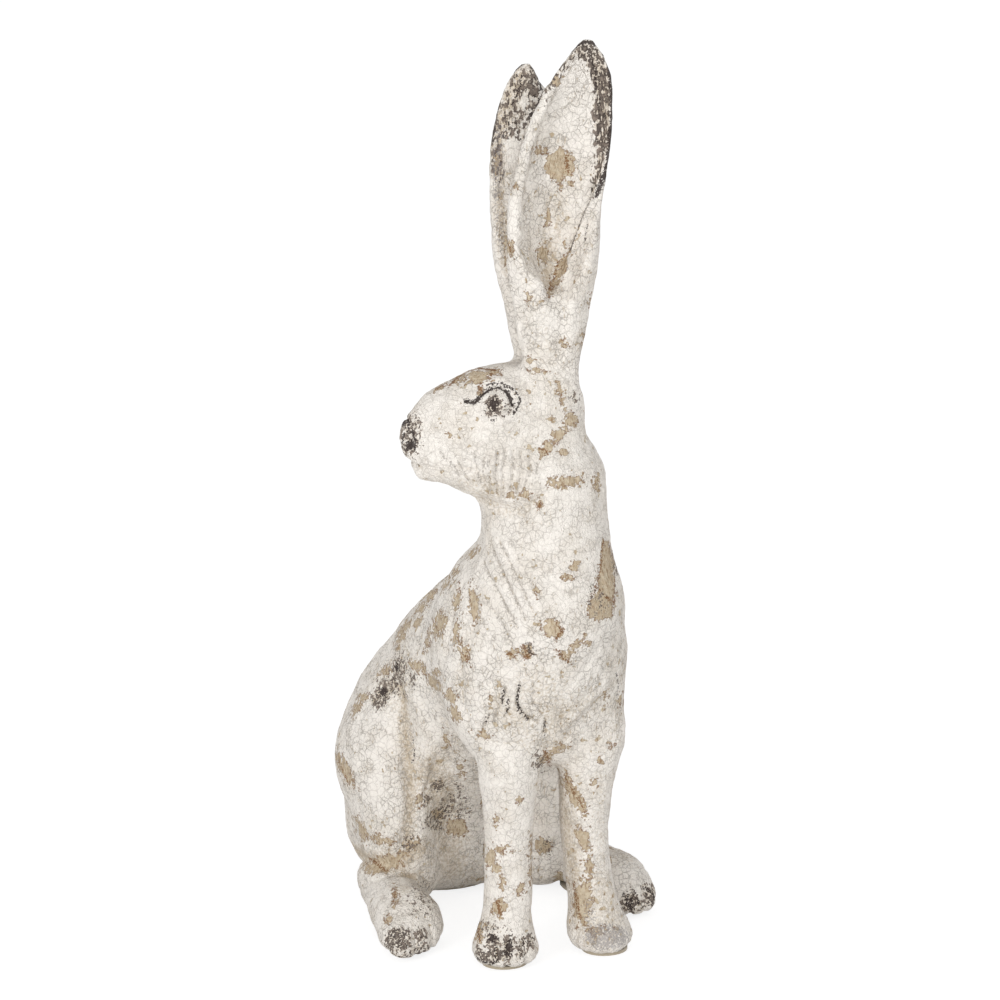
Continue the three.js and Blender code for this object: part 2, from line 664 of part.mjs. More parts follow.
// Felt pads, ovals inside the flats that they are glued to.
function pad(name, x, y, halfWidth, halfLength, turned = 0) {
  const outline = new THREE.Shape().absellipse(0, 0, halfWidth, halfLength, 0, 2 * Math.PI);
  const depth = feltThickness;
  const geometry = new THREE.ExtrudeGeometry(outline, { depth, bevelEnabled: false, curveSegments: 12 });
  geometry.rotateZ(turned).translate(x, y, 0);
  add(name, solidOf(geometry), felt);
}
const pawPadShare = 0.8; // of the flat under the paw
const footPadTurn = 0.2; // radians, as the foot's axis runs
const footPadShares = [-0.12, 0.42, 0.26, 0.34]; // across, behind the toes, half-width, half-length
const rumpPadShares = [0.27, 0.25]; // half-width and half-length
for (const [hand, side] of [["left", 1], ["right", -1]]) {
  const [across, ahead, , wide, deep] = frontLegShares.at(-1);
  const paw = legAxis(side);
  const pawX = paw.x + side * (across * frontLegWidth + pawOut(side));
  const pawY = paw.y - ahead * frontLegWidth - pawForward(side);
  const pawPad = pawPadShare * frontLegWidth;
  pad(`felt_paw_${hand}`, pawX, pawY, wide * pawPad, deep * pawPad);
  const [off, behind, halfWidth, halfLength] = footPadShares;
  const footX = toes(side).x + side * off * hindFootWidth;
  const footY = toes(side).y + behind * hindFootLength;
  const footPad = [halfWidth * hindFootWidth, halfLength * hindFootLength];
  pad(`felt_foot_${hand}`, footX, footY, ...footPad, side * footPadTurn);
}
pad("felt_rump", 0, plugBehind, rumpPadShares[0] * bodyWidth, rumpPadShares[1] * bodyWidth);

// The origin is on the shelf, below the middle of the whole figure.
figure.updateMatrixWorld(true);
const middle = new THREE.Box3().setFromObject(figure, true).getCenter(new THREE.Vector3());
figure.position.set(-middle.x, -middle.y, 0);

export default figure;
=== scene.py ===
"""The looks of a sitting hare ornament, built round its packed castings.

Every piece is in metres, in the castings' own frame. On the real figure the bonds between the
castings are filled and painted over. So the castings are welded into one skin here, the skin is
smoothed and sculpted as a whole, and then it is parted again where the castings meet.
Lengths that a function works with are millimetres where its text says so.
"""

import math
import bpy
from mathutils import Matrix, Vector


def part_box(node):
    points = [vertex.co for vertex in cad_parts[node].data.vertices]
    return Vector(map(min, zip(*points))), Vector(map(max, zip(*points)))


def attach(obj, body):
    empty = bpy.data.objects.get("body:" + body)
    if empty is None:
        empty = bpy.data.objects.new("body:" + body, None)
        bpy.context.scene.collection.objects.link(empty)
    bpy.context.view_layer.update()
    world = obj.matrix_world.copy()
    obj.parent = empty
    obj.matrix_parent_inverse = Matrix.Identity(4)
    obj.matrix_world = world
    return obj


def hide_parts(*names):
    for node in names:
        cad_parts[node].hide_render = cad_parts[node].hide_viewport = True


bl_info = {
    "name": "Sitting hare ornament",
    "version": (1, 0, 0),
    "blender": (4, 5, 0),
    "location": "3D View > Sidebar > Hare",
    "description": "Cast resin hare with worn, crackled off-white paint",
    "category": "Object",
}

import bpy
import numpy as np
from mathutils import Vector
from mathutils.bvhtree import BVHTree

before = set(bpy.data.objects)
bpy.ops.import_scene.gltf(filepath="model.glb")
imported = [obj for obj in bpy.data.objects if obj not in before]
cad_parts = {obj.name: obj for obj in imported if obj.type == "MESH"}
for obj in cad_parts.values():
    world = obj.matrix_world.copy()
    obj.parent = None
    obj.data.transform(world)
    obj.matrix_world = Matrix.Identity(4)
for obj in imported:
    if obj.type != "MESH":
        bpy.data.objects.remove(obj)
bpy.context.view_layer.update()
MM = 0.001


def linear(code):
    """Linear RGB of an sRGB hex code: each channel below 0.04045 is divided by 12.92, the rest
    are raised to the power 2.4 after (c + 0.055) / 1.055."""
    channels = np.array([int(code[i : i + 2], 16) for i in (1, 3, 5)]) / 255
    low = channels / 12.92
    high = ((channels + 0.055) / 1.055) ** 2.4
    return tuple(float(c) for c in np.where(channels <= 0.04045, low, high))


def colour(name, description, code):
    """A colour that a user may change."""
    return bpy.props.FloatVectorProperty(
        name=name, description=description, default=linear(code), subtype="COLOR", size=3, min=0, max=1
    )


def length(name, description, millimetres):
    """A length that a user may change."""
    return bpy.props.FloatProperty(
        name=name, description=description, default=millimetres * MM, min=0, unit="LENGTH", precision=5
    )


class HareSizes(bpy.types.PropertyGroup):
    """Sizes of the skin's sculpting and of the paint's cracks and flakes."""

    skin_step: length("Skin step", "Edge of the squares that the skin is made of", 1.6)
    lump_height: length("Lump height", "Height of the modelled unevenness", 0.7)
    fur_depth: length("Fur depth", "Depth of the short strokes of the modelling tool", 0.8)
    cleft_depth: length("Toe cleft depth", "Depth of the grooves between the toes", 2.2)
    crack_cell: length("Crack cell", "Width of the cells of the crackled paint", 4.6)
    crack_width: length("Crack width", "Width of a crack in the paint", 0.24)
    paint_film: length("Paint film", "Thickness of the paint at the edge of a chip", 0.45)


class HareColours(bpy.types.PropertyGroup):
    """Colours of the finishes and of the floor."""

    paint: colour("Paint", "Antique white paint", "#f7f1e9")
    paint_shade: colour("Paint, duller", "Where the paint is thin or rubbed", "#ebe3d8")
    # Wash: brown wash, and also painted shade in the hollows, under the chin and between the legs.
    wash_and_shade: colour("Wash", "Brown wash left in the hollows", "#c6b59c")
    crack: colour("Crack", "Wash left in the cracks", "#9c9389")
    undercoat: colour("Undercoat", "Undercoat showing in the chips", "#c4b196")
    undercoat_pale: colour("Undercoat, pale", "Rubbed undercoat", "#d6c8b0")
    rust: colour("Rust", "Stain along the edges of some chips", "#815831")
    umber: colour("Umber", "Dark paint on eyes, nose, ear tips and toes", "#3e3431")
    umber_pale: colour("Umber, rubbed", "Dark paint where it is rubbed thin", "#8a7d73")
    # Pewter: grey paint on one paw, and also painted shade in the far ear's groove.
    pewter_and_shade: colour("Pewter", "Grey paint rubbed over one paw", "#918c8e")
    felt: colour("Felt", "Felt under the feet and the rump", "#b4a894")
    steel: colour("Steel", "Drawn steel of the rods", "#8d9095")
    plug: colour("Plug", "Moulded plug in the pouring hole", "#d8d2c6")
    floor: colour("Floor", "Floor under the ornament", "#ffffff")


# The picture's camera: distance and target in millimetres, angles in degrees.
VIEW_DISTANCE = 2600.0
VIEW_AZIMUTH = -25.0
VIEW_ELEVATION = 14.0
VIEW_ANGLE = 14.6
VIEW_TARGET = np.array([-4.0, -28.526, 294.0])
PICTURE = 1000
FLOOR_HALF = 8.0  # metres from the middle of the floor to its edges
PIXEL = 0.65  # millimetres on the figure for one pixel of the picture

# The head's own frame: the neck's axis, and the head's across direction.
NECK = np.array([-4.0, -96.526, 290.0])
HEAD_TURN = math.radians(-103)
ACROSS = np.array([math.cos(HEAD_TURN), math.sin(HEAD_TURN), 0.0])
AHEAD = np.array([math.sin(HEAD_TURN), -math.cos(HEAD_TURN), 0.0])


def view_axes():
    """Unit vectors to the picture's right, up and out of it towards the eye."""
    a, e = math.radians(VIEW_AZIMUTH), math.radians(VIEW_ELEVATION)
    back = np.array([math.sin(a) * math.cos(e), -math.cos(a) * math.cos(e), math.sin(e)])
    right = np.array([math.cos(a), math.sin(a), 0.0])
    return right, np.cross(back, right), back


RIGHT, UP, BACK = view_axes()
EYE = VIEW_TARGET + VIEW_DISTANCE * BACK
FOCAL = PICTURE / 2 / math.tan(math.radians(VIEW_ANGLE / 2))


def pixels_of(points):
    """Pixel places and depths of points in millimetres, by the picture's perspective."""
    q = points - VIEW_TARGET
    depth = VIEW_DISTANCE - q @ BACK
    x = PICTURE / 2 + FOCAL * (q @ RIGHT) / depth
    y = PICTURE / 2 - FOCAL * (q @ UP) / depth
    return np.stack([x, y], 1), depth


# ---------------------------------------------------------------------------
# The skin: welding, smoothing and parting.

CASTINGS = (
    "body_casting",
    "head_casting",
    "ear_left_casting",
    "ear_right_casting",
    "front_leg_left_casting",
    "front_leg_right_casting",
    "hind_foot_left_casting",
    "hind_foot_right_casting",
)
HIDDEN = ("base_plug", "ear_rod_left", "ear_rod_right", "leg_rod_left", "leg_rod_right")
SWELL = 0.2  # millimetres, which closes the bonds of 0.3


def surface_of(name):
    """Corners in millimetres, doubles merged, and triangles of a CAD node."""
    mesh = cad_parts[name].data
    mesh.calc_loop_triangles()
    places = np.empty(3 * len(mesh.vertices), np.float32)
    mesh.vertices.foreach_get("co", places)
    triangles = np.empty(3 * len(mesh.loop_triangles), np.int32)
    mesh.loop_triangles.foreach_get("vertices", triangles)
    places = np.round(places.reshape(-1, 3).astype(float) / MM, 4)
    merged, index = np.unique(places, axis=0, return_inverse=True)
    triangles = index.reshape(-1)[triangles].reshape(-1, 3)
    sides = [triangles[:, a] != triangles[:, b] for a, b in ((0, 1), (1, 2), (2, 0))]
    return merged, triangles[sides[0] & sides[1] & sides[2]]


def normals_of(points, *groups):
    """Unit normals at the corners: the sum over the faces round each, squares or triangles, of one
    diagonal or side crossed with the next."""
    total = np.zeros_like(points)
    for faces in groups:
        first = points[faces[:, 2]] - points[faces[:, 0]]
        cross = np.cross(first, points[faces[:, -1]] - points[faces[:, 1]])
        for corner in range(faces.shape[1]):
            for axis in range(3):
                total[:, axis] += np.bincount(faces[:, corner], cross[:, axis], len(points))
    return total / np.maximum(np.linalg.norm(total, axis=1), 1e-9)[:, None]


def mesh_from(name, points, faces):
    """A mesh from corners in millimetres."""
    mesh = bpy.data.meshes.new(name)
    mesh.from_pydata((points * MM).tolist(), [], faces.tolist())
    return mesh


def object_from(name, mesh):
    """An object at the origin that shows a mesh."""
    piece = bpy.data.objects.new(name, mesh)
    bpy.context.scene.collection.objects.link(piece)
    return piece


def welded(step):
    """Corners and squares of the castings, each swollen by a little more than half a bond and
    all remeshed as one on a grid of that step. Hollows inside come out as skins of their own,
    and only the outer one, which holds the topmost corner, is kept."""
    places, faces, start = [], [], 0
    for name in CASTINGS + HIDDEN:
        points, triangles = surface_of(name)
        points = points + SWELL * normals_of(points, triangles)
        places.append(points)
        faces.append(triangles + start)
        start += len(points)
    rough = object_from("rough", mesh_from("rough", np.concatenate(places), np.concatenate(faces)))
    remesh = rough.modifiers.new("remesh", "REMESH")
    remesh.mode = "VOXEL"
    remesh.voxel_size = step
    remesh.adaptivity = 0
    graph = bpy.context.evaluated_depsgraph_get()
    mesh = bpy.data.meshes.new_from_object(rough.evaluated_get(graph))
    points = np.empty(3 * len(mesh.vertices), np.float32)
    mesh.vertices.foreach_get("co", points)
    points = points.reshape(-1, 3).astype(float) / MM
    squares = np.empty(len(mesh.loops), np.int32)
    mesh.loops.foreach_get("vertex_index", squares)
    if len(squares) != 4 * len(mesh.polygons):
        raise RuntimeError("the remeshed skin isn't all squares")
    squares = squares.reshape(-1, 4)
    bpy.data.objects.remove(rough)
    bpy.data.meshes.remove(mesh)
    return outermost(points, squares)


def sides_of(faces):
    """Each side of the faces once, as pairs of corners, and the index of each face's sides."""
    pairs = np.stack([faces, np.roll(faces, -1, axis=1)], 2).reshape(-1, 2)
    pairs.sort(axis=1)
    once, index = np.unique(pairs, axis=0, return_inverse=True)
    return once, index.reshape(faces.shape)


def labels_of(sides, count):
    """The lowest number among the corners that each corner is joined to by sides. Labels spread
    along the sides, and jump to their own labels, until none changes."""
    label = np.arange(count)
    changed = True
    while changed:
        spread = label.copy()
        np.minimum.at(spread, sides[:, 0], label[sides[:, 1]])
        np.minimum.at(spread, sides[:, 1], label[sides[:, 0]])
        spread = np.minimum(spread, spread[spread])
        changed = bool((spread != label).any())
        label = spread
    return label


def outermost(points, squares):
    """The part of a mesh joined to its topmost corner."""
    label = labels_of(sides_of(squares)[0], len(points))
    joined = label[squares[:, 0]] == label[points[:, 2].argmax()]
    kept, index = np.unique(squares[joined], return_inverse=True)
    return points[kept], index.reshape(-1, 4)


def smoothed(points, sides, weight, passes, back=0.0):
    """Each pass draws every corner half way, times its weight, to the mean of its neighbours,
    and with back pushes it out again by that share, which keeps rims from shrinking."""
    ends = sides.ravel()
    others = sides[:, ::-1].ravel()
    valence = np.bincount(ends, minlength=len(points))[:, None]
    for _ in range(passes):
        for share in (0.5, -back) if back else (0.5,):
            means = [np.bincount(ends, points[others, axis], len(points)) for axis in range(3)]
            points = points + share * weight[:, None] * (np.stack(means, 1) / valence - points)
    return points


def ramp(values, low, high):
    """0 below low, 1 above high, and a smooth step between."""
    t = np.clip((values - low) / (high - low), 0, 1)
    return t * t * (3 - 2 * t)


def finer(points, squares, wanted):
    """Parts each wanted square in four. Corners new on the border of the wanted part are held to
    the middle of their side, so that the coarse part still meets them."""
    sides, index = sides_of(squares)
    used = np.zeros(len(sides), bool)
    used[index[wanted].ravel()] = True
    number = np.full(len(sides), -1)
    number[used] = len(points) + np.arange(used.sum())
    border = np.zeros(len(sides), bool)
    border[np.intersect1d(index[wanted].ravel(), index[~wanted].ravel())] = True
    middles = points[sides[used]].mean(1)
    centres = points[squares[wanted]].mean(1)
    first = len(points) + len(middles)
    a, b, c, d = squares[wanted].T
    ab, bc, cd, da = number[index[wanted]].T
    m = first + np.arange(len(centres))
    quarters = [(a, ab, m, da), (ab, b, bc, m), (m, bc, c, cd), (da, m, cd, d)]
    small = np.concatenate([np.stack(quarter, 1) for quarter in quarters])
    points = np.concatenate([points, middles, centres])
    return points, squares[~wanted], small, (number[border], sides[border])


# ---------------------------------------------------------------------------
# Sculpting strokes and painted places, in pixels of the picture.

# Strokes: points, depth in millimetres (below 0 cuts in) and half-width in millimetres.
FACE_STROKES = (
    (((476, 394), (486, 384), (495, 380), (505, 381), (513, 388), (520, 399)), 1.5, 1.9),
    (
        ((466, 401), (474, 403), (480, 396), (488, 390),
         (495, 386), (502, 387), (508, 393), (513, 405)),
        -2.2, 0.8,
    ),
    (((481, 411), (487, 417), (494, 420), (503, 418), (511, 410)), -0.6, 0.8),
    (((480, 418), (490, 425), (503, 424), (515, 414)), 0.6, 1.8),
    (((513, 405), (520, 409), (526, 410)), -0.8, 0.8),
    (((406, 430), (411, 437), (409, 445), (412, 451)), -2.2, 1.2),
    (((400, 420), (406, 418), (410, 424)), -1.3, 0.9),
    (((404, 412), (400, 417), (399, 424)), 0.9, 1.4),
    (((398, 449), (403, 456), (412, 464), (420, 468)), -2.8, 1.3),
    (((424, 466), (434, 468), (442, 470)), -0.9, 1.2),
    (((412, 456), (420, 459), (432, 463)), 1.2, 2.6),
    (((420, 474), (430, 477), (440, 478)), 1.4, 3.2),
    (((398, 436), (402, 446), (404, 452)), -0.9, 0.9),
)
EYEBALL = ((494, 404), (16, 11), 2.2)
LOW_STROKES = (
    (((484, 458), (483, 474), (486, 486)), -1.1, 0.9),
    (((491, 455), (488, 470), (490, 490)), -1.3, 0.9),
    (((498, 452), (496, 470), (497, 494)), -1.4, 0.9),
    (((506, 450), (504, 470), (503, 496)), -1.3, 0.9),
    (((514, 450), (514, 470), (509, 496)), -1.4, 0.9),
    (((521, 452), (523, 470), (516, 494)), -1.3, 0.9),
    (((529, 456), (531, 470), (524, 490)), -1.1, 0.9),
    (((537, 462), (537, 474), (531, 486)), -0.9, 0.9),
    (((474, 452), (476, 468), (481, 484)), -0.9, 0.9),
    (((455, 456), (462, 472), (470, 484)), -0.7, 0.9),
    (((440, 452), (450, 462), (458, 476)), -0.6, 0.9),
    (((476, 499), (488, 503), (502, 509), (520, 511), (536, 504), (546, 494)), -2.2, 3.0),
    (((480, 490), (495, 497), (512, 499), (528, 494)), 1.2, 3.2),
    (((514, 505), (518, 520), (521, 535)), -1.3, 1.3),
    (((534, 519), (527, 528), (521, 537)), -1.3, 1.3),
    (((521, 537), (520, 554)), -1.0, 1.2),
    (((540, 512), (530, 540), (527, 560)), -0.8, 1.3),
    (((490, 546), (507, 583), (525, 620)), -1.5, 1.1),
    (((499, 542), (515, 575), (533, 612)), -1.4, 1.1),
    (((482, 562), (498, 592), (516, 628)), -1.3, 1.1),
    (((508, 540), (524, 570), (542, 600)), -1.1, 1.1),
    (((494, 540), (511, 578), (529, 617)), 0.9, 1.4),
    (((486, 558), (502, 590), (520, 624)), 0.7, 1.4),
    (((486, 600), (500, 622), (512, 645)), -1.0, 1.1),
    (((520, 684), (517, 695), (517, 705), (526, 716), (538, 720)), -1.9, 1.0),
    (((513, 688), (511, 704), (518, 720), (533, 727)), 0.9, 2.2),
    (((545, 718), (545, 733)), -1.5, 1.0),
    (((505, 688), (502, 704)), -1.6, 0.9),
    (((509, 697), (506, 716)), -1.6, 0.9),
    (((489, 714), (486, 722), (482, 730)), -1.5, 1.0),
    (((534, 690), (532, 702), (538, 708)), -1.4, 1.0),
    (((498, 704), (493, 724)), -1.4, 1.0),
    (((551, 724), (547, 737), (549, 748)), -1.8, 2.2),
    (((600, 700), (585, 716), (567, 739)), -1.8, 2.6),
    (((594, 696), (578, 712), (560, 730)), 1.0, 2.6),
    (((610, 660), (598, 690), (583, 700)), -1.2, 2.0),
    (((604, 640), (590, 664), (566, 690)), -0.9, 1.6),
    (((480, 739), (500, 744), (522, 743), (545, 748)), -1.8, 1.6),
    (((396, 689), (401, 715), (407, 750), (412, 785), (412, 815), (408, 840)), -4.6, 5.0),
    (((404, 745), (409, 780), (410, 812), (405, 838)), -1.8, 1.8),
    (((430, 752), (425, 775), (416, 802), (413, 815)), 3.0, 2.2),
    (((415, 700), (424, 730), (428, 755)), 2.0, 3.4),
    (((440, 700), (446, 730), (447, 765), (452, 800)), -2.0, 2.6),
    (((372, 700), (385, 690), (400, 686)), -2.0, 2.2),
    (((352, 745), (362, 790), (372, 835)), 0.7, 3.0),
    (((352, 848), (364, 858), (386, 866), (408, 856)), -1.6, 3.0),
    (((438, 612), (430, 640), (424, 668)), -1.4, 1.6),
    (((462, 585), (452, 615), (446, 650)), -1.4, 1.6),
    (((478, 600), (470, 640), (471, 672)), -1.2, 1.6),
    (((447, 650), (436, 690), (440, 720)), -1.4, 1.6),
    (((460, 668), (463, 700), (470, 730)), -1.4, 1.6),
    (((484, 560), (474, 590), (468, 620)), -1.0, 1.4),
    (((420, 873), (434, 893), (442, 912)), -1.2, 1.6),
    (((371, 880), (395, 874), (415, 876)), -1.4, 1.8),
    (((427, 760), (434, 790), (440, 820)), -1.0, 1.4),
    (((458, 762), (462, 792), (464, 824)), -0.8, 1.4),
)
EAR_STROKES = (
    (((602, 176), (594, 197), (583, 221), (574, 243), (566, 262), (559, 284), (553, 296)), 1.7, 1.5),
    (((592, 186), (582, 210), (573, 234), (564, 256), (555, 280)), -2.4, 2.0),
    (((556, 200), (553, 225), (550, 250), (550, 276)), -3.6, 6.0),
    (((560, 262), (557, 278), (552, 292)), -2.0, 1.8),
    (((566, 300), (562, 330), (558, 360)), -1.0, 2.2),
    (((540, 300), (534, 325), (530, 352)), 0.9, 2.2),
    (((522, 300), (520, 330), (521, 356)), -0.8, 1.6),
    (((576, 290), (572, 325), (568, 360)), 0.8, 2.2),
    (((545, 360), (556, 366), (572, 372)), -1.3, 1.5),
    (((528, 352), (538, 360), (550, 364)), -1.1, 1.5),
    (((548, 92), (536, 120), (524, 158), (518, 195), (519, 228), (527, 260), (539, 284)), 2.4, 3.6),
    (((520, 120), (512, 160), (508, 200), (510, 236)), 0.6, 2.4),
    (((499, 128), (499, 165), (500, 205), (503, 240), (507, 266)), -3.0, 2.6),
    (((493, 150), (492, 180), (493, 210), (496, 250)), 1.0, 1.2),
    (((513, 82), (508, 100), (503, 128)), -1.6, 1.8),
    (((524, 74), (522, 92), (517, 118)), -1.2, 1.6),
    (((530, 120), (518, 150), (512, 190), (511, 230)), 0.9, 1.4),
    (((598, 66), (603, 90), (603, 130), (597, 165)), -1.3, 2.2),
    (((566, 64), (554, 82), (540, 106)), -1.0, 2.0),
)

# Pulls on the skin before the strokes: pixel, move to the right, down and away from the eye in
# millimetres, and half-width in millimetres.
PULLS = (
    ((364, 664), (4.6, 3.0, 0), 21), ((344, 712), (2.0, 0.6, 0), 14), ((617, 737), (5.0, 0, 0), 12),
    ((626, 690), (-2.4, 0, 0), 10), ((656, 880), (-6.4, 0, 0), 18), ((388, 944), (-3.0, 0, -11), 11),
    ((412, 950), (0, 0, -9), 10), ((444, 928), (-2.4, 0, 0), 12), ((355, 876), (2.2, 0, 0), 9),
    ((634, 938), (-3.0, 0, 0), 10), ((571, 930), (-2.6, 0, 0), 10), ((477, 543), (2.4, 0, 0), 10),
    ((453, 378), (-0.8, -1.8, 0), 10), ((411, 408), (-1.5, -1.4, 0), 7), ((401, 423), (-2.0, 0, 0), 4.5),
    ((424, 475), (-2.4, 1.9, 0), 5.5), ((472, 497), (-3.4, 2.6, 0), 9), ((344, 806), (1.6, 0, 0), 12),
    ((488, 215), (2.8, 0, 0), 19), ((600, 52), (-2.2, 0, 0), 8),
)

# Chips down to the undercoat: centre, half-lengths and turn in degrees.
CHIPS = (
    (478, 377, 13, 6.5, -8), (459, 378, 7, 3.4, -30), (441, 387, 5, 2.4, -25), (494, 372, 7, 2.4, 8),
    (480, 391, 2.4, 4, 0), (570, 420, 6.5, 7.5, 0), (559, 434, 9.5, 4.5, -35), (547, 447, 9.5, 5, -45),
    (564, 452, 4, 2.5, 0), (567, 482, 17, 6, -8), (596, 482, 3.5, 7, 0), (525, 494, 6, 4.5, -30),
    (539, 504, 4, 4, 0), (510, 494, 3, 3.5, 0), (550, 419, 4, 2.6, 0), (561, 396, 13, 1.8, 74),
    (450, 436, 2.5, 3, 0), (560, 165, 15, 16, 0), (540, 151, 6, 3.5, 0), (571, 182, 3.2, 3.6, 0),
    (560, 188, 2.6, 3, 0), (516, 189, 2.2, 2.2, 0), (556, 78, 5.5, 6.5, 0), (550, 219, 4.5, 8.5, 20),
    (543, 253, 5.5, 8.5, 0), (558, 273, 23, 4.6, 115), (509, 247, 3.6, 8.5, -20), (530, 360, 3.6, 3.2, 0),
    (552, 628, 11, 9, 35), (565, 656, 3.6, 6.5, -40), (577, 645, 3, 8, 40), (527, 652, 6, 6.5, 0),
    (512, 653, 5.5, 4.5, -30), (560, 747, 8.5, 3.4, -20), (440, 624, 6, 13, 15), (457, 600, 2.8, 10, 8),
    (474, 605, 4.2, 16, -5), (456, 632, 3, 10, 10), (464, 652, 3.6, 11, -18), (434, 683, 4.6, 10, -45),
    (451, 696, 5, 8, -35), (455, 714, 4.2, 9, -15), (482, 735, 7, 3, 20), (455, 572, 2.6, 5, 35),
    (473, 553, 6, 2.6, -40), (431, 595, 3.4, 7.5, 40), (422, 607, 3.4, 6.5, 40), (418, 623, 2.6, 6, 25),
    (403, 632, 3.2, 13, 28), (417, 667, 9, 5, 35), (436, 673, 4.2, 3, 0), (363, 697, 5, 3.8, -30),
    (357, 708, 3.6, 7, 30), (386, 671, 6.5, 3.8, -30), (345, 770, 5, 19, -28), (360, 829, 5, 12, -20),
    (380, 839, 13, 4, 10), (384, 864, 19, 8, -14), (402, 854, 9, 4, -30), (410, 845, 9.5, 4, -28),
    (456, 828, 11, 9, 0), (438, 814, 6, 5, 0), (395, 896, 3, 7.5, 0), (389, 920, 3.2, 3.6, 0),
    (491, 858, 5.5, 9, 10), (502, 850, 8, 3.6, -15), (496, 868, 6, 4, 30), (520, 890, 5.5, 5.5, 0),
    (499, 908, 7.5, 10, 10), (479, 934, 3.6, 8.5, 5), (502, 882, 2, 4.5, 0), (546, 757, 8, 4.5, -40),
    (574, 795, 23, 6, 61), (583, 838, 13, 6, 62), (589, 866, 5, 10, -18), (583, 900, 9, 22, 5),
    (543, 846, 8, 8, 0), (596, 930, 10, 4, 0), (445, 585, 2.6, 7, 30), (428, 640, 2.4, 8, 12),
    (447, 740, 2.4, 6, -15), (461, 770, 3, 7, -10), (420, 800, 2.6, 6, 10), (587, 642, 3, 2.6, 0),
    (606, 700, 2, 5, 0), (621, 700, 1.8, 5, 10), (536, 590, 3, 5, -10), (575, 566, 4, 5, 0),
    (566, 577, 5, 3, 0), (600, 760, 3, 3, 0), (594, 783, 4, 3, -30), (612, 745, 3, 2.6, 0),
    (490, 700, 2.4, 4, 20), (497, 820, 2, 5, 10), (519, 800, 3, 2.4, 0), (531, 850, 1.6, 7, 0),
    (530, 875, 1.6, 6, 0), (560, 880, 5, 7, 0), (497, 160, 2, 6, 0), (528, 300, 2, 5, 0),
    (585, 340, 2, 5, 8), (590, 300, 2, 4, 0), (566, 345, 3, 4, 0), (540, 372, 8, 2, 12),
)
CHEST_CHIP = (
    (604, 539), (609, 542), (614, 560), (615, 592), (612, 617), (600, 620), (586, 617), (588, 604),
    (597, 590), (599, 565), (602, 552),
)
# Stain along the edges of the larger chips: points and half-width in millimetres.
RUST = (
    (((451, 384), (458, 377), (468, 371), (480, 368), (494, 370)), 1.5), (((479, 385), (482, 392)), 1.0),
    (((437, 389), (446, 384)), 1.0), (((488, 378), (492, 374)), 1.0),
    (((603, 542), (601, 560), (599, 580), (592, 596)), 0.9), (((600, 590), (606, 597), (614, 603)), 0.9),
    (((615, 572), (614, 612)), 0.8), (((556, 622), (562, 630), (556, 640)), 0.9),
    (((524, 647), (530, 653), (525, 658)), 1.6), (((508, 654), (514, 656)), 1.2),
    (((556, 650), (568, 662)), 1.0), (((545, 752), (550, 765)), 1.3), (((498, 902), (501, 914)), 1.5),
    (((478, 928), (480, 940)), 1.2), (((566, 156), (568, 172)), 1.0), (((557, 262), (551, 288)), 0.4),
    (((566, 778), (586, 812)), 0.6), (((573, 884), (580, 918)), 1.0), (((367, 858), (385, 870)), 0.9),
    (((464, 655), (467, 662)), 0.8), (((340, 762), (348, 782)), 0.8), (((395, 890), (393, 902)), 0.9),
    (((432, 618), (440, 632)), 0.6), (((540, 448), (548, 453)), 0.9), (((540, 505), (538, 508)), 1.0),
    (((508, 243), (512, 252)), 0.8),
)
# Dark lines and dabs drawn with a fine brush, and dark lines of painted shade in some grooves:
# strokes with a half-width in millimetres, and patches as the chips are given.
INK_AND_SHADE_STROKES = (
    (
        ((465, 401), (475, 402.5), (480, 397), (488, 390.5),
         (495, 387), (502, 388), (508, 393), (513, 405)),
        1.35,
    ),
    (((487, 386), (495, 383.5), (503, 384)), 0.6),
    (((505, 386), (514, 391), (519, 399), (519, 407), (513, 413)), 0.7),
    (((491, 420), (494, 421)), 0.5),
    (((411, 410), (405, 414), (401, 420), (399, 430), (399, 438)), 1.1),
    (((406, 418), (409, 425), (406, 431)), 0.9),
    (((412, 431), (415, 439), (414, 450)), 1.3),
    (((404, 434), (402, 445), (405, 450)), 0.8),
    (((402, 455), (410, 462), (417, 466)), 0.4),
    (((586, 41), (577, 46), (570, 54), (563, 62), (557, 71), (550, 81)), 1.2),
    (((550, 81), (544, 92), (536, 106), (529, 118)), 0.6),
    (
        ((586, 41), (596, 44), (602, 51), (606, 59), (609, 69),
         (611, 83), (612, 100), (612, 120), (610, 141)),
        1.4,
    ),
    (((610, 141), (607, 162), (603, 181), (597, 196)), 1.1),
    (((592, 60), (596, 74), (596, 90)), 0.5),
    (((590, 198), (580, 221), (577, 232), (571, 250)), 0.6),
    (((587, 225), (585, 240)), 0.4),
    (((536, 64), (539, 74), (541, 90)), 1.1),
    (((527, 62), (518, 68), (511, 77), (505, 88), (500, 102), (495, 122), (492, 141)), 1.2),
    (((522, 74), (519, 90), (512, 104)), 0.5),
    (((381, 947), (390, 953), (402, 957), (423, 952), (431, 945)), 0.5),
    (((624, 893), (627, 903), (632, 912)), 1.0),
    (((634, 891), (638, 904)), 0.8),
    (((645, 888), (652, 895), (651, 904)), 1.0),
    # These seven lines are painted shade in the deepest parts of the chest's wrinkles and the thigh's groove.
    (((503, 692), (502, 704)), 0.72),
    (((508, 700), (507, 712)), 0.7),
    (((519, 686), (517, 700), (520, 712), (528, 718)), 0.78),
    (((488, 716), (485, 724)), 0.5),
    (((545, 720), (545, 736)), 0.5),
    (((616, 672), (618, 684), (617, 696)), 0.5),
    (((411, 738), (414, 752), (413, 764)), 0.3),
    (((478, 957), (487, 963), (498, 960)), 0.8),
    (((511, 940), (511, 956)), 0.8),
    (((524, 938), (525, 950)), 0.6),
    (((496, 944), (496, 958)), 0.6),
)
